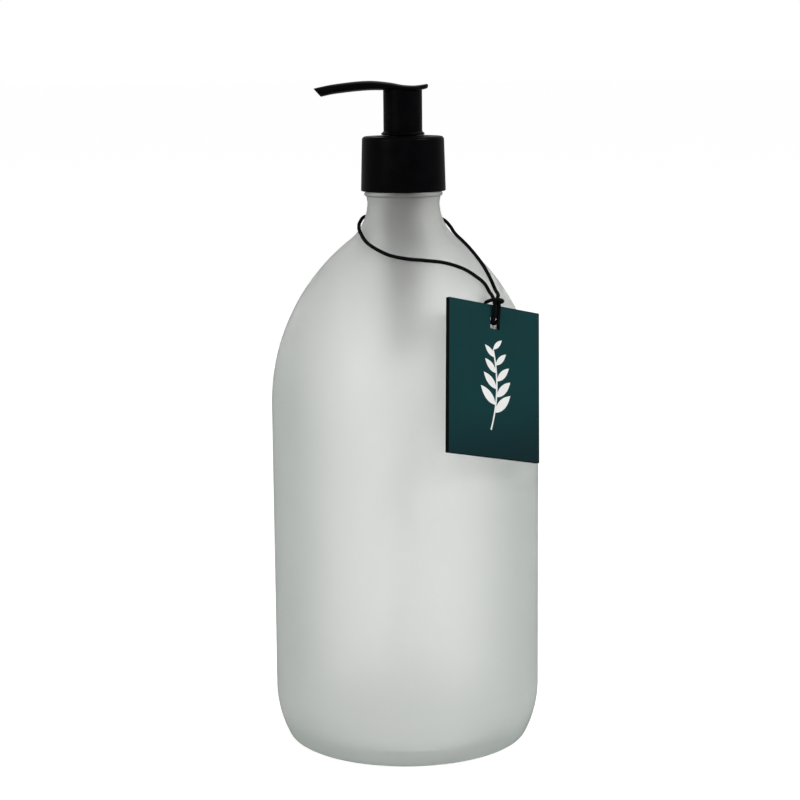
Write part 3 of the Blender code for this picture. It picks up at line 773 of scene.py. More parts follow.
@dataclass
class HelixRidge:
    """A right-hand screw ridge, grown by Geometry Nodes along a spiral."""

    radius: float
    lead: float
    turns: float
    ridge: float
    start_height: float
    start_angle: float = 0.0

    INPUTS = ("Radius", "Lead", "Turns", "Ridge", "Start Height", "Start Angle")

    @classmethod
    def tree(cls) -> bpy.types.NodeTree:
        """Build the ridge's tree once.

        Returns:
            The Geometry Nodes tree, with its sizes as named inputs.
        """
        name = "helix_ridge"
        if name in bpy.data.node_groups:
            return bpy.data.node_groups[name]
        tree = bpy.data.node_groups.new(name, "GeometryNodeTree")
        for label in cls.INPUTS:
            tree.interface.new_socket(label, in_out="INPUT", socket_type="NodeSocketFloat")
        tree.interface.new_socket("Finish", in_out="INPUT", socket_type="NodeSocketMaterial")
        tree.interface.new_socket("Geometry", in_out="OUTPUT", socket_type="NodeSocketGeometry")
        sketch = Sketch(tree)
        entry = sketch.add("NodeGroupInput")
        size = entry.outputs
        spiral = sketch.add(
            "GeometryNodeCurveSpiral",
            {
                "Resolution": 64,
                "Rotations": size["Turns"],
                "Start Radius": size["Radius"],
                "End Radius": size["Radius"],
                "Height": sketch.math("MULTIPLY", size["Lead"], size["Turns"]),
                "Reverse": True,
            },
        )
        turn = sketch.add("ShaderNodeCombineXYZ", {"Z": size["Start Angle"]})
        lift = sketch.add("ShaderNodeCombineXYZ", {"Z": size["Start Height"]})
        placed = sketch.add(
            "GeometryNodeTransform",
            {"Geometry": spiral.outputs[0], "Translation": lift.outputs[0], "Rotation": turn.outputs[0]},
        )
        along = sketch.add("GeometryNodeSplineParameter").outputs["Factor"]
        ends = sketch.math("MINIMUM", along, sketch.math("SUBTRACT", 1.0, along))
        taper = sketch.math("MINIMUM", 1.0, sketch.math("ADD", 0.15, sketch.math("MULTIPLY", ends, 12.0)))
        shaped = sketch.add("GeometryNodeSetCurveRadius", {"Curve": placed.outputs[0], "Radius": taper})
        section = sketch.add("GeometryNodeCurvePrimitiveCircle", {"Resolution": 8, "Radius": size["Ridge"]})
        swept = sketch.add(
            "GeometryNodeCurveToMesh",
            {"Curve": shaped.outputs[0], "Profile Curve": section.outputs[0], "Fill Caps": True},
        )
        if "Scale" in swept.inputs:
            tree.links.new(taper, swept.inputs["Scale"])
        real = sketch.add("GeometryNodeRealizeInstances", {"Geometry": swept.outputs[0]})
        dressed = sketch.add("GeometryNodeSetMaterial", {"Geometry": real.outputs[0], "Material": size["Finish"]})
        sketch.add("NodeGroupOutput", {"Geometry": dressed.outputs[0]})
        return tree

    def build(self, name: str, finish: Finish) -> bpy.types.Object:
        """Grow the ridge as a plain mesh.

        Args:
            name: The object's name.
            finish: Its finish.

        Returns:
            The ridge.
        """
        values = (self.radius, self.lead, self.turns, self.ridge, self.start_height, self.start_angle)
        obj = Shapes.add(name + "_grown", bpy.data.meshes.new(name + "_grown"))
        GrownPiece(self.tree(), dict(zip(self.INPUTS, values)) | {"Finish": finish.material()}).attach(obj)
        grown = Shapes.evaluated(obj, name)
        shape = bmesh.new()
        shape.from_mesh(grown.data)
        bmesh.ops.remove_doubles(shape, verts=shape.verts, dist=MERGE_DISTANCE)
        bmesh.ops.recalc_face_normals(shape, faces=shape.faces)
        shape.to_mesh(grown.data)
        shape.free()
        return Shapes.smooth(grown, 60)


@dataclass
class GrownPiece:
    """A Geometry Nodes tree with the values of its named inputs."""

    tree: bpy.types.NodeTree
    values: dict[str, object]

    def attach(self, obj: bpy.types.Object) -> None:
        """Add the tree to an object as a modifier, with each input set by its identifier."""
        modifier = obj.modifiers.new("grown", "NODES")
        modifier.node_group = self.tree
        for item in self.tree.interface.items_tree:
            if item.item_type == "SOCKET" and item.in_out == "INPUT" and item.name in self.values:
                modifier[item.identifier] = self.values[item.name]


@dataclass
class Studio:
    """The camera, the plain pale floor, the white surround and the soft lamps."""

    distance: float = 0.720
    height: float = 0.240
    pitch: float = 9.30
    aim_left: float = 0.146
    roll: float = 0.5
    lens: float = 91.93
    floor_size: float = 30.0
    floor_drop: float = 0.00005
    floor_colour: Colour = (0.80, 0.80, 0.80)
    floor_glow: float = 0.625
    surround: float = 0.46
    mirrored: float = 0.05
    key_place: tuple[float, float, float] = (0.95, -0.45, 0.95)
    key_size: float = 0.35
    key_power: float = 7.5
    fill_place: tuple[float, float, float] = (-0.9, -0.8, 0.6)
    fill_size: float = 0.45
    fill_power: float = 4.0
    lit_point: tuple[float, float, float] = (0.0, 0.0, 0.12)

    def camera(self) -> bpy.types.Object:
        """Place the camera: a long lens, a little above the collar and tipped down.

        Returns:
            The camera.
        """
        data = bpy.data.cameras.new("camera")
        data.lens = self.lens
        data.sensor_width = 36
        data.clip_start = 0.01
        data.clip_end = 100
        camera = bpy.data.objects.new("camera", data)
        bpy.context.scene.collection.objects.link(camera)
        place = Matrix.Translation((0, -self.distance, self.height))
        aim = Matrix.Rotation(math.radians(self.aim_left), 4, "Z")
        tip = Matrix.Rotation(math.radians(90 - self.pitch), 4, "X")
        lean = Matrix.Rotation(math.radians(-self.roll), 4, "Z")
        camera.matrix_world = place @ aim @ tip @ lean
        bpy.context.scene.camera = camera
        return camera

    def floor(self) -> bpy.types.Object:
        """Lay the pale floor, which shows white where no shadow falls.

        Returns:
            The floor.
        """
        mesh = bpy.data.meshes.new("floor")
        shape = bmesh.new()
        bmesh.ops.create_grid(shape, x_segments=1, y_segments=1, size=self.floor_size)
        bmesh.ops.translate(shape, vec=(0, 0, -self.floor_drop), verts=shape.verts)
        shape.to_mesh(mesh)
        shape.free()
        floor = Shapes.add("floor", mesh)
        material = bpy.data.materials.new("pale_floor")
        material.use_nodes = True
        sketch = Sketch(material.node_tree)
        shader = material.node_tree.nodes["Principled BSDF"]
        shader.inputs["Base Color"].default_value = (*self.floor_colour, 1)
        shader.inputs["Roughness"].default_value = 0.9
        shader.inputs["Specular IOR Level"].default_value = 0.0
        rays = sketch.add("ShaderNodeLightPath").outputs
        seen = sketch.math("MAXIMUM", rays["Is Camera Ray"], rays["Is Transmission Ray"])
        strength = sketch.math("MULTIPLY", seen, self.floor_glow)
        shader.inputs["Emission Color"].default_value = (1, 1, 1, 1)
        sketch.tree.links.new(strength, shader.inputs["Emission Strength"])
        floor.data.materials.append(material)
        return floor

    def world(self) -> None:
        """Make the surround: white where it is seen, softer where it lights."""
        world = bpy.data.worlds.new("surround")
        bpy.context.scene.world = world
        world.use_nodes = True
        sketch = Sketch(world.node_tree)
        world.node_tree.nodes.clear()
        rays = sketch.add("ShaderNodeLightPath").outputs
        seen = sketch.math("MAXIMUM", rays["Is Camera Ray"], rays["Is Transmission Ray"])
        mirrored = sketch.math("MULTIPLY", rays["Is Glossy Ray"], self.mirrored)
        share = sketch.math("MAXIMUM", seen, mirrored)
        light = sketch.add("ShaderNodeBackground", {"Color": (1, 1, 1, 1), "Strength": self.surround})
        white = sketch.add("ShaderNodeBackground", {"Color": (1, 1, 1, 1), "Strength": 1.0})
        both = sketch.add("ShaderNodeMixShader", {0: share, 1: light.outputs[0], 2: white.outputs[0]})
        sketch.add("ShaderNodeOutputWorld", {"Surface": both.outputs[0]})

    def lamp(self, name: str, place: tuple[float, float, float], size: float, power: float) -> bpy.types.Object:
        """Hang one soft square lamp that faces the bottle's middle.

        Args:
            name: The lamp's name.
            place: Where it hangs.
            size: Its side.
            power: Its power in watts.

        Returns:
            The lamp.
        """
        data = bpy.data.lights.new(name, "AREA")
        data.size = size
        data.energy = power
        lamp = bpy.data.objects.new(name, data)
        bpy.context.scene.collection.objects.link(lamp)
        lamp.location = place
        lamp.rotation_euler = (Vector(self.lit_point) - Vector(place)).to_track_quat("-Z", "Y").to_euler()
        return lamp

    def light(self) -> None:
        """Hang the key lamp high at the right and the fill at the front left."""
        self.lamp("key", self.key_place, self.key_size, self.key_power)
        self.lamp("fill", self.fill_place, self.fill_size, self.fill_power)

    def build(self) -> None:
        """Set the view and make the studio round the object."""
        view = bpy.context.scene.view_settings
        view.view_transform = "Standard"
        self.floor()
        self.world()
        self.light()
        LOG.info("studio: camera %.0f mm away with a %.1f mm lens", self.distance / MILLIMETRE, self.lens)


@dataclass
class HangTag:
    """The thick card tag: coated faces, a dark core at its edges, a square slot and a printed sprig."""

    width: float = 0.0425
    height: float = 0.0522
    thickness: float = 0.0016
    slot: float = 0.0042
    slot_margin: float = 0.004
    azimuth: float = 43.0
    lean: float = 12.7
    roll: float = -12.8
    shift_across: float = -0.0035
    shift_up: float = -0.0036
    shoulder_height: float = 0.1214
    shoulder_radius: float = 0.0736
    body_radius: float = 0.0475
    clearance: float = 0.0003
    edge: float = 0.00012
    print_height: float = 0.0275
    print_bow: float = 0.0030
    print_leaf: float = 0.0098
    print_line: float = 0.00026
    leaves: int = 9

    def placement(self) -> Matrix:
        """The tag's place and turn, with its back on the bottle's shoulder.

        Returns:
            A matrix from the tag's own frame: X across, Y into the bottle, Z up the card.
        """
        azimuth, lean, roll = (math.radians(value) for value in (self.azimuth, self.lean, self.roll))
        outward = Vector(
            (math.sin(azimuth) * math.cos(lean), -math.cos(azimuth) * math.cos(lean), math.sin(lean))
        )
        level = Vector((math.cos(azimuth), math.sin(azimuth), 0))
        steep = level.cross(outward) * -1
        if steep.z < 0:
            steep.negate()
        across = level * math.cos(roll) + steep * math.sin(roll)
        up = steep * math.cos(roll) - level * math.sin(roll)
        reach = self.body_radius - self.shoulder_radius + self.shoulder_radius * math.cos(lean)
        contact = Vector((reach * math.sin(azimuth), -reach * math.cos(azimuth), 0))
        contact.z = self.shoulder_height + self.shoulder_radius * math.sin(lean)
        centre = contact + outward * (self.thickness / 2 + self.clearance)
        centre += level * self.shift_across + steep * self.shift_up
        return Matrix.Translation(centre) @ Matrix((across, -outward, up)).transposed().to_4x4()

    def card(self) -> bpy.types.Object:
        """Cut the card with its slot, and round its edges a little.

        Returns:
            The card, in its place.
        """
        slot_low = self.height / 2 - self.slot_margin - self.slot
        columns = (-self.width / 2, -self.slot / 2, self.slot / 2, self.width / 2)
        rows = (-self.height / 2, slot_low, slot_low + self.slot, self.height / 2)
        shape = bmesh.new()
        grid = [[shape.verts.new((x, -self.thickness / 2, z)) for x in columns] for z in rows]
        for row in range(3):
            for column in range(3):
                if (row, column) != (1, 1):
                    corners = (grid[row][column], grid[row][column + 1], grid[row + 1][column + 1], grid[row + 1][column])
                    shape.faces.new(corners)
        front = list(shape.faces)
        back = bmesh.ops.extrude_face_region(shape, geom=front)
        moved = [item for item in back["geom"] if isinstance(item, bmesh.types.BMVert)]
        bmesh.ops.translate(shape, vec=(0, self.thickness, 0), verts=moved)
        bmesh.ops.recalc_face_normals(shape, faces=shape.faces)
        for face in shape.faces:
            face.material_index = 0 if abs(face.normal.y) > 0.9 else 1
        rims = [
            edge for edge in shape.edges
            if len(edge.link_faces) == 2 and edge.link_faces[0].normal.angle(edge.link_faces[1].normal) > 0.5
        ]
        bmesh.ops.bevel(
            shape, geom=rims, offset=self.edge, segments=3, profile=0.5, affect="EDGES", material=1, clamp_overlap=True
        )
        mesh = bpy.data.meshes.new("tag_card")
        shape.to_mesh(mesh)
        shape.free()
        mesh.transform(self.placement())
        card = Shapes.smooth(Shapes.add("tag_card", mesh), 40)
        card.data.materials.append(CARD.material())
        card.data.materials.append(CORE.material())
        return card

    def sprig_tree(self) -> bpy.types.NodeTree:
        """Build the tree that grows a plain sprig: a bowed stem with leaves on both sides.

        Returns:
            The Geometry Nodes tree, with its sizes as named inputs.
        """
        tree = bpy.data.node_groups.new("leaf_sprig", "GeometryNodeTree")
        for label in ("Height", "Bow", "Leaf", "Line"):
            tree.interface.new_socket(label, in_out="INPUT", socket_type="NodeSocketFloat")
        tree.interface.new_socket("Leaves", in_out="INPUT", socket_type="NodeSocketInt")
        tree.interface.new_socket("Finish", in_out="INPUT", socket_type="NodeSocketMaterial")
        tree.interface.new_socket("Geometry", in_out="OUTPUT", socket_type="NodeSocketGeometry")
        sketch = Sketch(tree)
        size = sketch.add("NodeGroupInput").outputs
        half = sketch.math("MULTIPLY", size["Height"], 0.5)
        low = sketch.add("ShaderNodeCombineXYZ", {"X": sketch.math("MULTIPLY", size["Bow"], -0.6), "Y": sketch.math("MULTIPLY", half, -1.0)})
        middle = sketch.add("ShaderNodeCombineXYZ", {"X": size["Bow"]})
        high = sketch.add("ShaderNodeCombineXYZ", {"X": sketch.math("MULTIPLY", size["Bow"], -0.3), "Y": half})
        stem = sketch.add(
            "GeometryNodeCurveQuadraticBezier",
            {"Resolution": 40, "Start": low.outputs[0], "Middle": middle.outputs[0], "End": high.outputs[0]},
        )
        nib = sketch.add("GeometryNodeCurvePrimitiveCircle", {"Resolution": 8, "Radius": size["Line"]})
        line = sketch.add(
            "GeometryNodeCurveToMesh",
            {"Curve": stem.outputs[0], "Profile Curve": nib.outputs[0], "Fill Caps": True},
        )
        upper = sketch.add("GeometryNodeTrimCurve", {"Curve": stem.outputs[0]}, mode="FACTOR")
        upper.inputs[2].default_value = 0.22
        upper.inputs[3].default_value = 1.0
        points = sketch.add("GeometryNodeCurveToPoints", {"Curve": upper.outputs[0], "Count": size["Leaves"]}, mode="COUNT")
        tip = sketch.add("ShaderNodeCombineXYZ", {"X": size["Leaf"]})
        belly = sketch.math("MULTIPLY", size["Leaf"], 0.34)
        bulge = sketch.math("MULTIPLY", size["Leaf"], 0.45)
        above = sketch.add("ShaderNodeCombineXYZ", {"X": bulge, "Y": belly})
        below = sketch.add("ShaderNodeCombineXYZ", {"X": bulge, "Y": sketch.math("MULTIPLY", belly, -1.0)})
        sides = []
        for start, bend, end in ((None, above, tip), (tip, below, None)):
            side = sketch.add("GeometryNodeCurveQuadraticBezier", {"Resolution": 10, "Middle": bend.outputs[0]})
            for socket, node in (("Start", start), ("End", end)):
                if node is None:
                    side.inputs[socket].default_value = (0, 0, 0)
                else:
                    tree.links.new(node.outputs[0], side.inputs[socket])
            sides.append(sketch.add("GeometryNodeCurveToMesh", {"Curve": side.outputs[0]}).outputs[0])
        outline = sketch.add("GeometryNodeJoinGeometry")
        for side in sides:
            tree.links.new(side, outline.inputs[0])
        welded = sketch.add("GeometryNodeMergeByDistance", {"Geometry": outline.outputs[0], "Distance": 0.00001})
        ring = sketch.add("GeometryNodeMeshToCurve", {"Mesh": welded.outputs[0]})
        leaf = sketch.add("GeometryNodeFillCurve", {"Curve": ring.outputs[0]})
        index = sketch.add("GeometryNodeInputIndex").outputs[0]
        side = sketch.math("MODULO", index, 2.0)
        splay = sketch.math("SUBTRACT", sketch.math("MULTIPLY", side, 1.7), 0.85)
        lean = sketch.add("ShaderNodeCombineXYZ", {"Z": sketch.math("ADD", splay, math.pi / 2)})
        share = sketch.math("DIVIDE", index, sketch.math("MAXIMUM", 1.0, sketch.math("SUBTRACT", size["Leaves"], 1.0)))
        scale = sketch.math("SUBTRACT", 1.0, sketch.math("MULTIPLY", share, 0.45))
        grown = sketch.add(
            "GeometryNodeInstanceOnPoints",
            {"Points": points.outputs["Points"], "Instance": leaf.outputs[0], "Rotation": lean.outputs[0], "Scale": scale},
        )
        whole = sketch.add("GeometryNodeJoinGeometry")
        tree.links.new(grown.outputs[0], whole.inputs[0])
        tree.links.new(line.outputs[0], whole.inputs[0])
        real = sketch.add("GeometryNodeRealizeInstances", {"Geometry": whole.outputs[0]})
        dressed = sketch.add("GeometryNodeSetMaterial", {"Geometry": real.outputs[0], "Material": size["Finish"]})
        sketch.add("NodeGroupOutput", {"Geometry": dressed.outputs[0]})
        return tree

    def sprig(self) -> bpy.types.Object:
        """Print the sprig on the card's face, as a thin layer of ink.

        Returns:
            The ink.
        """
        obj = Shapes.add("sprig_grown", bpy.data.meshes.new("sprig_grown"))
        values = {
            "Height": self.print_height,
            "Bow": self.print_bow,
            "Leaf": self.print_leaf,
            "Line": self.print_line,
            "Leaves": self.leaves,
            "Finish": INK.material(),
        }
        GrownPiece(self.sprig_tree(), values).attach(obj)
        ink = Shapes.evaluated(obj, "tag_print")
        mesh = ink.data
        for vert in mesh.vertices:
            vert.co.z *= 0.1
        ink_lift = self.thickness / 2 + 0.00001
        stand = Matrix(((1, 0, 0, 0), (0, 0, -1, -ink_lift), (0, 1, 0, -0.003), (0, 0, 0, 1)))
        shape = bmesh.new()
        shape.from_mesh(mesh)
        bmesh.ops.solidify(shape, geom=shape.faces[:], thickness=-0.00002)
        bmesh.ops.transform(shape, matrix=self.placement() @ stand, verts=shape.verts)
        bmesh.ops.recalc_face_normals(shape, faces=shape.faces)
        shape.to_mesh(mesh)
        shape.free()
        return ink

    def build(self) -> bpy.types.Object:
        """Make the tag with its print.

        Returns:
            The card.
        """
        card = self.card()
        Shapes.settle(card, Body.BOTTLE, Slot.CARD, None, ["hang_tag"])
        Shapes.settle(self.sprig(), Body.BOTTLE, Slot.CARD, INK)
        return card


@dataclass
class TagCord:
    """The braided elastic: a loop round the neck, and its hitch over the tag's top edge."""

    radius: float = 0.000625
    sides: int = 16
    spacing: float = 0.0005
    declared_length: float = 0.1879
    route_mm: tuple[tuple[float, float, float], ...] = (
        (28.8, -31.1, 153.3), (29.7, -32.0, 154.0), (30.3, -32.4, 155.0), (30.6, -32.1, 156.8),
        (30.7, -31.4, 159.1), (30.4, -30.1, 161.2), (29.9, -25.8, 162.3), (29.3, -21.3, 162.9),
        (28.0, -20.4, 165.2), (25.9, -19.9, 167.3), (20.6, -21.4, 170.9), (14.0, -23.6, 173.3),
        (7.4, -25.3, 174.3), (0.9, -25.7, 175.0), (-5.6, -23.7, 176.3), (-12.2, -16.8, 179.4),
        (-15.1, -8.3, 182.6), (-15.7, -3.3, 184.6), (-15.2, 0.6, 186.0), (-13.9, 4.6, 187.2),
        (-10.2, 10.3, 187.6), (-3.4, 14.1, 187.7), (4.0, 13.9, 187.6), (10.6, 10.2, 187.0),
        (14.3, 5.4, 185.8), (16.4, 0.6, 183.9), (18.0, -2.2, 181.6), (21.1, -4.8, 178.7),
        (23.7, -7.0, 176.0), (26.3, -9.4, 172.8), (28.2, -11.5, 170.0), (29.9, -14.3, 166.8),
        (31.4, -17.2, 163.4), (32.0, -21.0, 162.5), (32.1, -25.2, 162.2), (31.7, -28.8, 161.4),
        (32.2, -30.0, 158.9), (32.0, -30.9, 156.4), (31.8, -31.2, 154.5), (31.1, -30.8, 153.6),
        (30.2, -29.9, 152.9),
    )
    hitch_mm: tuple[tuple[float, float, float], ...] = (
        (-1.2, 1.7, 21.0), (-1.8, 1.8, 23.4), (-2.3, 1.8, 25.6), (-2.5, 1.2, 26.9), (-2.55, -0.4, 27.3),
        (-2.5, -1.7, 27.4), (-2.05, -2.75, 27.5), (-1.1, -3.15, 27.6), (0.0, -3.2, 27.6), (0.85, -3.15, 27.6),
        (1.7, -2.75, 27.5), (2.15, -1.7, 27.4), (2.2, -0.4, 27.3), (2.15, 1.2, 26.9), (2.0, 1.8, 25.6),
        (1.6, 1.8, 23.4), (1.1, 1.7, 21.0),
    )

    def route(self) -> list[Vector]:
        """The loop's centre line, in metres."""
        return Shapes.smooth_route([Vector(point) * MILLIMETRE for point in self.route_mm], self.spacing)

    def build(self, tag: HangTag, card: bpy.types.Object) -> bpy.types.Object:
        """Args:
            tag: The tag, whose frame the hitch lies in.
            card: The tag's card, which hangs on the cord; not used.

        Returns:
            The loop.
        """
        path = self.route()
        loop = Shapes.tube("elastic_loop", path, self.radius, self.sides)
        Shapes.settle(loop, Body.BOTTLE, Slot.ELASTIC, ELASTIC, ["tag_cord"])
        place = tag.placement()
        knots = [place @ (Vector(point) * MILLIMETRE) for point in self.hitch_mm]
        hitch = Shapes.tube("elastic_hitch", Shapes.smooth_route(knots, self.spacing), self.radius, self.sides)
        Shapes.settle(hitch, Body.BOTTLE, Slot.ELASTIC, ELASTIC)
        return loop


@dataclass
class GlassBottle:
    """The blown bottle: screw finish, carrying bead, round shoulder, straight side and hollow base."""

    body_radius: float = 0.0475
    wall: float = 0.0022
    heel_radius: float = 0.038
    heel_height: float = 0.019
    base_corner: float = 0.003
    bearing_width: float = 0.0035
    punt_rise: float = 0.002
    punt_knee_inset: float = 0.0075
    punt_knee_drop: float = 0.0006
    floor_thickness: float = 0.004
    floor_corner: float = 0.004
    shoulder_height: float = 0.1214
    shoulder_radius: float = 0.0736
    neck_radius: float = 0.0127
    neck_fillet: float = 0.0169
    neck_length: float = 0.0021
    bore_radius: float = 0.0084
    bore_fillet: float = 0.024
    bead_radius: float = 0.0138
    bead_height: float = 0.0015
    finish_radius: float = 0.0124
    finish_height: float = 0.0144
    rim_edge: float = 0.0006
    thread_lead: float = 0.004233
    thread_turns: float = 1.5
    thread_height: float = 0.0009
    thread_half_width: float = 0.0009
    thread_start: float = 0.0052
    steps: int = 192
    rim: float = field(init=False)

    def __post_init__(self) -> None:
        """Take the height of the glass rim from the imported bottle."""
        self.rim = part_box("glass_bottle")[1].z

    def heel(self, floor: float, side: float, large: float, corner: float, counts: tuple[int, int]) -> Outline:
        """The lower corner, from the side down to the floor: a large arc, then a small one."""
        centre_x = side - large
        drop = self.heel_height - floor - corner
        corner_x = centre_x + math.sqrt((large - corner) ** 2 - drop**2)
        meet = -math.asin(drop / (large - corner))
        upper = Shapes.arc((centre_x, self.heel_height), large, 0, meet, counts[0])
        lower = Shapes.arc((corner_x, floor + corner), corner, meet, -math.pi / 2, counts[1])
        return upper + lower[1:]

    def shoulder(self, side: float, large: float, fillet: float, neck: float, counts: tuple[int, int]) -> Outline:
        """The shoulder from the neck down to the side: a hollow fillet, then the large arc."""
        centre_x = side - large
        fillet_x = neck + fillet
        rise = math.sqrt((large + fillet) ** 2 - (fillet_x - centre_x) ** 2)
        meet = math.atan2(rise, fillet_x - centre_x)
        hollow = Shapes.arc((fillet_x, self.shoulder_height + rise), fillet, math.pi, math.pi + meet, counts[0])
        round_part = Shapes.arc((centre_x, self.shoulder_height), large, meet, 0, counts[1])
        return hollow + round_part[1:]

    def outlines(self) -> tuple[Outline, Outline]:
        """The outer outline, rim to base, and the inner one, floor to rim."""
        rim = self.rim
        bead_top = rim - self.finish_height
        edge = self.rim_edge
        half = self.bead_height / 2
        outside = Shapes.arc((self.finish_radius - edge, rim - edge), edge, math.pi / 2, 0, 5)
        outside += Shapes.line((self.finish_radius, rim - 2 * edge), (self.finish_radius, bead_top + edge), 56)
        outside += [(self.finish_radius, bead_top)]
        outside += Shapes.arc((self.bead_radius - half, bead_top - half), half, math.pi / 2, -math.pi / 2, 10)
        outside += self.shoulder(self.body_radius, self.shoulder_radius, self.neck_fillet, self.neck_radius, (14, 28))
        outside += Shapes.line((self.body_radius, self.shoulder_height), (self.body_radius, self.heel_height), 12)[1:-1]
        outside += self.heel(0, self.body_radius, self.heel_radius, self.base_corner, (16, 8))
        bearing = outside[-1][0] - self.bearing_width
        outside += [(bearing, 0), (bearing - self.punt_knee_inset, self.punt_rise - self.punt_knee_drop), (0, self.punt_rise)]
        inner_floor = self.punt_rise + self.floor_thickness
        side = self.body_radius - self.wall
        inner_heel = self.heel(inner_floor, side, self.heel_radius - self.wall, self.floor_corner, (14, 8))
        inner_shoulder = self.shoulder(
            side, self.shoulder_radius - self.wall, self.bore_fillet, self.bore_radius, (14, 24)
        )
        inside = [(0.0, inner_floor), *inner_heel[::-1], *inner_shoulder[::-1]]
        inside += [(self.bore_radius, rim - edge)]
        inside += Shapes.arc((self.bore_radius + edge, rim - edge), edge, math.pi, math.pi / 2, 4)[1:]
        return outside, inside

    def thread(self, angle: float, radius: float, height: float) -> float:
        """How far the screw thread stands out from the finish.

        Args:
            angle: The angle round the axis.
            radius: The plain radius there.
            height: The height there.

        Returns:
            The ridge's height at that place, or 0.
        """
        if abs(radius - self.finish_radius) > 0.00001:
            return 0.0
        whole = math.tau * self.thread_turns
        bottom = self.rim - self.finish_height + self.thread_start
        stand = 0.0
        for lap in range(math.ceil(self.thread_turns)):
            travelled = angle + math.tau * lap
            if travelled < whole:
                middle = bottom + self.thread_lead * travelled / math.tau
                share = max(0.0, 1 - (abs(height - middle) / self.thread_half_width) ** 2)
                fade = min(1.0, travelled / 0.5, (whole - travelled) / 0.5)
                stand = max(stand, self.thread_height * math.sqrt(share) * fade)
        return stand

    def build(self) -> bpy.types.Object:
        """Turn the bottle.

        Returns:
            The glass.
        """
        outside, inside = self.outlines()
        marks = [1.0] * len(outside) + [0.0] * len(inside)
        bead_top = self.rim - self.finish_height

        def swell(angle: float, radius: float, height: float) -> float:
            """The thread, on the finish alone."""
            return self.thread(angle, radius, height) if height > bead_top else 0.0

        glass = Shapes.turned("bottle_glass", outside + inside, self.steps, closed=False, swell=swell, marks=marks)
        return Shapes.settle(glass, Body.BOTTLE, Slot.GLASS, GLASS, ["glass_bottle"])


@dataclass
class ClosureCollar:
    """The smooth screw collar, with its inner screw ridge."""

    bottom_radius: float = 0.0149
    top_radius: float = 0.0144
    wall: float = 0.0012
    top_thickness: float = 0.0015
    hole_radius: float = 0.0097
    edge: float = 0.0012
    foot_edge: float = 0.0003
    ridge_lead: float = 0.004233
    ridge_turns: float = 1.5
    ridge: float = 0.0007
    ridge_start: float = 0.0035
    steps: int = 160

    def build(self) -> bpy.types.Object:
        """Turn the collar and grow its ridge.

        Returns:
            The collar.
        """
        low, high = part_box("closure_collar")
        bottom, top = low.z, high.z
        ceiling = top - self.top_thickness
        inner = self.bottom_radius - self.wall
        soft = self.foot_edge
        outline = Shapes.arc((self.hole_radius + soft, top - soft), soft, math.pi, math.pi / 2, 3)
        outline += Shapes.arc((self.top_radius - self.edge, top - self.edge), self.edge, math.pi / 2, 0, 10)
        outline += Shapes.line((self.top_radius, top - self.edge), (self.bottom_radius, bottom + soft), 6)[1:-1]
        outline += Shapes.arc((self.bottom_radius - soft, bottom + soft), soft, 0, -math.pi / 2, 4)
        outline += [(inner, bottom), (inner, ceiling), (self.hole_radius, ceiling)]
        collar = Shapes.turned("collar_shell", outline, self.steps)
        Shapes.settle(collar, Body.COLLAR, Slot.BLACK, BLACK, ["closure_collar"])
        start = bottom + self.ridge_start
        thread = HelixRidge(inner + self.ridge * 0.2, self.ridge_lead, self.ridge_turns, self.ridge, start, math.pi / 3)
        Shapes.settle(thread.build("collar_ridge", BLACK), Body.COLLAR, Slot.BLACK, BLACK)
        return collar


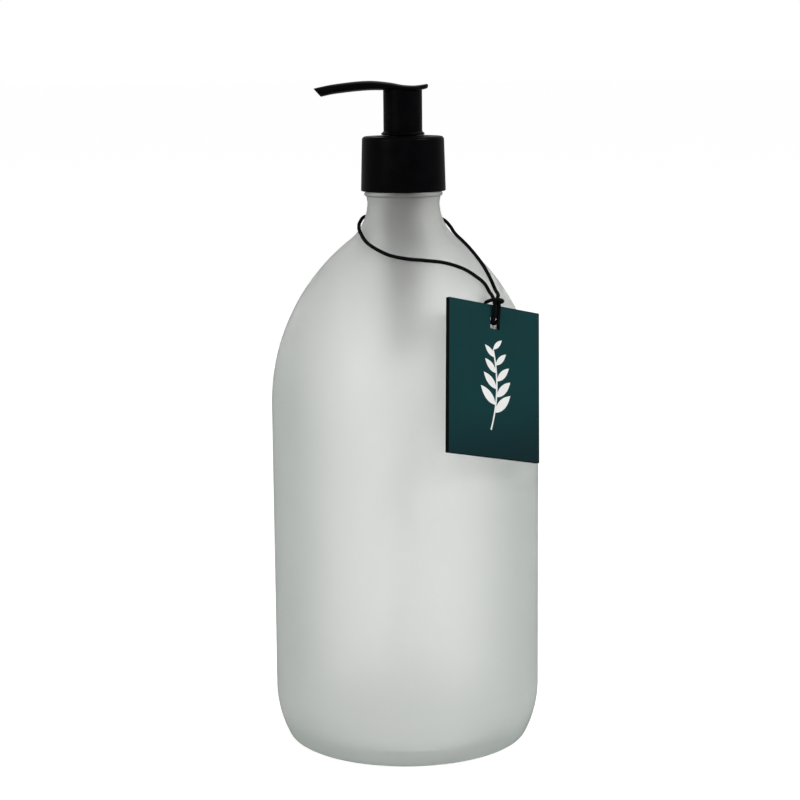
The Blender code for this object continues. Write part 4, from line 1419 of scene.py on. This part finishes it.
@dataclass
class PumpHead:
    """The head: a skirt with a flared foot, a threaded plug, and a plate that runs out into a flat spout."""

    skirt_radius: float = 0.0068
    skirt_wall: float = 0.0011
    skirt_height: float = 0.0165
    flange_radius: float = 0.0076
    flange_edge: float = 0.0004
    flange_height: float = 0.0012
    plug_radius: float = 0.0050
    plug_length: float = 0.009
    socket_radius: float = 0.0035
    roof: float = 0.0042
    socket_roof: float = 0.0118
    spout_reach: float = 0.0297
    rear_lip: float = 0.0089
    tip_slant: float = 0.0026
    channel_radius: float = 0.0011
    corner_power: float = 2.8
    plate_half_width: float = 0.0075
    tip_half_width: float = 0.0034
    section_points: int = 48
    refine: int = 5
    steps: int = 128
    rear_shares: tuple[float, ...] = (1.0, 0.99, 0.965, 0.93, 0.86, 0.66, 0.4)
    rear_widest: float = 0.99
    rear_step: float = 0.0004
    rear_lift: float = 0.0007
    rear_thickness: float = 0.0016
    rear_thickening: float = 0.0006
    rear_rounding: float = 0.93
    slant_start: float = 0.7
    front_shape: tuple[tuple[float, float, float, float], ...] = (
        (0.00, 0.0007, -0.0012, 1.00), (0.12, 0.0014, -0.0012, 0.98), (0.24, 0.0019, -0.0011, 0.93),
        (0.38, 0.0022, -0.0011, 0.82), (0.54, 0.0020, -0.0014, 0.66), (0.70, 0.0015, -0.0019, 0.48),
        (0.84, 0.0009, -0.0024, 0.26), (0.94, 0.0002, -0.0029, 0.08), (1.00, -0.0003, -0.0032, 0.00),
    )

    def bottom(self) -> float:
        """The height of the head's foot: the plug's lowest point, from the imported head, plus the plug."""
        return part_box("pump_head")[0].z + self.plug_length

    def stations(self) -> list[tuple[float, ...]]:
        """Sections along the plate and spout, as (x, top, bottom, half width) with the slant kept apart."""
        skirt_top = self.bottom() + self.skirt_height
        listed: list[tuple[float, ...]] = []
        for share in self.rear_shares:
            width = self.plate_half_width * math.sqrt(1 - (share * self.rear_widest) ** 2)
            top = skirt_top + self.rear_step + self.rear_lift * share**3
            thick = self.rear_thickness + self.rear_thickening * (1 - share)
            past = max(0.0, share - self.rear_rounding) / (1 - self.rear_rounding)
            trim = thick / 2 * (1 - math.sqrt(1 - (past * self.rear_widest) ** 2)) * 0.8
            listed.append((self.rear_lip * share, top - trim, top - thick + trim, width, 0.0))
        for share, top, bottom, spread in self.front_shape:
            width = self.tip_half_width + (self.plate_half_width - self.tip_half_width) * spread
            slant = self.tip_slant * max(0.0, (share - self.slant_start) / (1 - self.slant_start)) ** 2
            listed.append((-self.spout_reach * share, skirt_top + top, skirt_top + bottom, width, slant))
        return self.refined(listed)

    def refined(self, listed: list[tuple[float, ...]]) -> list[tuple[float, ...]]:
        """Put smooth stations between the listed ones.

        Args:
            listed: The chosen stations.

        Returns:
            The chosen stations with smooth ones between them.
        """
        result = []
        count = len(listed)
        for index in range(count - 1):
            before, start = listed[max(0, index - 1)], listed[index]
            end, after = listed[index + 1], listed[min(count - 1, index + 2)]
            for step in range(self.refine):
                t = step / self.refine
                result.append(
                    tuple(
                        (2 * b + (c - a) * t + (2 * a - 5 * b + 4 * c - d) * t * t + (3 * b - a - 3 * c + d) * t**3) / 2
                        for a, b, c, d in zip(before, start, end, after)
                    )
                )
        result.append(listed[-1])
        return result

    def plate(self) -> bpy.types.Object:
        """Loft the plate and spout through their sections."""
        shape = bmesh.new()
        rings = []
        power = 2 / self.corner_power
        for x, top, bottom, width, slant in self.stations():
            middle = (top + bottom) / 2
            half = (top - bottom) / 2
            ring = []
            for index in range(self.section_points):
                angle = math.tau * index / self.section_points
                across = math.copysign(abs(math.cos(angle)) ** power, math.cos(angle))
                up = math.copysign(abs(math.sin(angle)) ** power, math.sin(angle))
                ring.append(shape.verts.new((x - slant * up / 2, width * across, middle + half * up)))
            rings.append(ring)
        for ring, following in zip(rings, rings[1:]):
            for index in range(self.section_points):
                after = (index + 1) % self.section_points
                shape.faces.new((ring[index], ring[after], following[after], following[index]))
        shape.faces.new(rings[0][::-1])
        shape.faces.new(rings[-1])
        bmesh.ops.recalc_face_normals(shape, faces=shape.faces)
        mesh = bpy.data.meshes.new("spout_plate")
        shape.to_mesh(mesh)
        shape.free()
        return Shapes.add("spout_plate", mesh)

    def channel(self) -> bpy.types.Object:
        """The duct from the stem's top, along the spout, and out of its tip."""
        bottom = self.bottom()
        skirt_top = bottom + self.skirt_height
        start = bottom + self.socket_roof - self.channel_radius
        points = [Vector((0, 0, start)), Vector((0, 0, skirt_top - 0.0022)), Vector((-0.0022, 0, skirt_top - 0.0006))]
        spout = [s for s in self.stations() if s[0] < -self.spout_reach * 0.2][:: self.refine]
        points += [Vector((x, 0, (top + low) / 2)) for x, top, low, _, _ in spout]
        points.append(points[-1] + (points[-1] - points[-2]).normalized() * self.tip_slant * 2)
        return Shapes.tube("spout_duct", Shapes.smooth_route(points, 0.0012), self.channel_radius, 20)

    def skirt(self) -> bpy.types.Object:
        """Turn the skirt with its flared foot, the plug and the stem's socket."""
        bottom = self.bottom()
        top = bottom + self.skirt_height
        inside = self.skirt_radius - self.skirt_wall
        roof = top - self.roof
        plug_bottom = bottom - self.plug_length
        outline = [(0.0, top), (self.skirt_radius, top), (self.skirt_radius, bottom + self.flange_height)]
        edge = self.flange_edge / 2
        outline += Shapes.arc((self.flange_radius - edge, bottom + self.flange_edge), edge, math.pi / 3, 0, 3)
        outline += Shapes.arc((self.flange_radius - edge, bottom + edge), edge, 0, -math.pi / 2, 3)
        outline += [(inside, bottom), (inside, roof), (self.plug_radius, roof), (self.plug_radius, plug_bottom)]
        outline += [(self.socket_radius, plug_bottom), (self.socket_radius, bottom + self.socket_roof)]
        outline += [(0.0, bottom + self.socket_roof)]
        return Shapes.turned("head_skirt", outline, self.steps, closed=False)

    def build(self) -> bpy.types.Object:
        """Join the skirt and the plate, drill the duct, and grow the plug's thread.

        Returns:
            The head.
        """
        head = Shapes.joined(self.skirt(), [self.plate()], "UNION")
        head = Shapes.joined(head, [self.channel()], "DIFFERENCE")
        head.name = "head_shell"
        Shapes.smooth(head, 40)
        Shapes.settle(head, Body.HEAD, Slot.BLACK, BLACK, ["pump_head"])
        start = self.bottom() - self.plug_length + 0.0012
        thread = HelixRidge(self.plug_radius - 0.0001, 0.0026, 2.0, 0.00028, start)
        Shapes.settle(thread.build("plug_ridge", BLACK), Body.HEAD, Slot.BLACK, BLACK)
        return head


@dataclass
class PumpWorks:
    """The pump's inner pieces: most keep their solid's shape with softened edges and their own plastic; the spring and
    the ball keep their solids, in steel.
    """

    edge: float = 0.00012

    def softened(self, node: str, name: str) -> bpy.types.Object:
        """Copy a CAD node, merge it, and round its sharp edges.

        Args:
            node: The CAD node.
            name: The new piece's name.

        Returns:
            The new piece.
        """
        shape = bmesh.new()
        shape.from_mesh(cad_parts[node].data)
        bmesh.ops.remove_doubles(shape, verts=shape.verts, dist=MERGE_DISTANCE)
        mesh = bpy.data.meshes.new(name)
        shape.to_mesh(mesh)
        shape.free()
        copy = Shapes.add(name + "_raw", mesh)
        bevel = copy.modifiers.new("edges", "BEVEL")
        bevel.width = self.edge
        bevel.segments = 2
        bevel.limit_method = "ANGLE"
        bevel.angle_limit = math.radians(35)
        return Shapes.smooth(Shapes.evaluated(copy, name), 30)

    def build(self) -> None:
        """Dress each inner piece."""
        plain = (
            ("pump_housing", "pump_barrel", Body.PUMP, Slot.HOUSING, BARREL),
            ("lock_ring", "stem_guide_ring", Body.PUMP, Slot.BLACK, BLACK),
            ("neck_gasket", "rim_washer", Body.PUMP, Slot.FOAM, FOAM),
            ("dip_tube", "suction_tube", Body.PUMP, Slot.NATURAL, NATURAL),
            ("pump_stem", "hollow_stem", Body.HEAD, Slot.NATURAL, NATURAL),
            ("piston_seat", "valve_seat", Body.SEAT, Slot.NATURAL, NATURAL),
            ("piston", "lipped_piston", Body.PISTON, Slot.SOFT, SOFT),
        )
        for node, name, body, slot, finish in plain:
            Shapes.settle(self.softened(node, name), body, slot, finish, [node])
        for node in ("return_spring", "inlet_ball"):
            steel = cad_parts[node]
            steel.data.materials.clear()
            steel.data.materials.append(STEEL.material())
            LOG.info("%s: keeps its solid, in steel", node)


def main() -> None:
    """Build the camera and the cord first, then the tag's bottle, the closure, the pump and the studio."""
    logging.basicConfig(level=logging.INFO, format="%(message)s")
    studio = Studio()
    studio.camera()
    tag = HangTag()
    TagCord().build(tag, tag.build())
    GlassBottle().build()
    ClosureCollar().build()
    PumpHead().build()
    PumpWorks().build()
    studio.build()


if __name__ == "__main__":
    main()
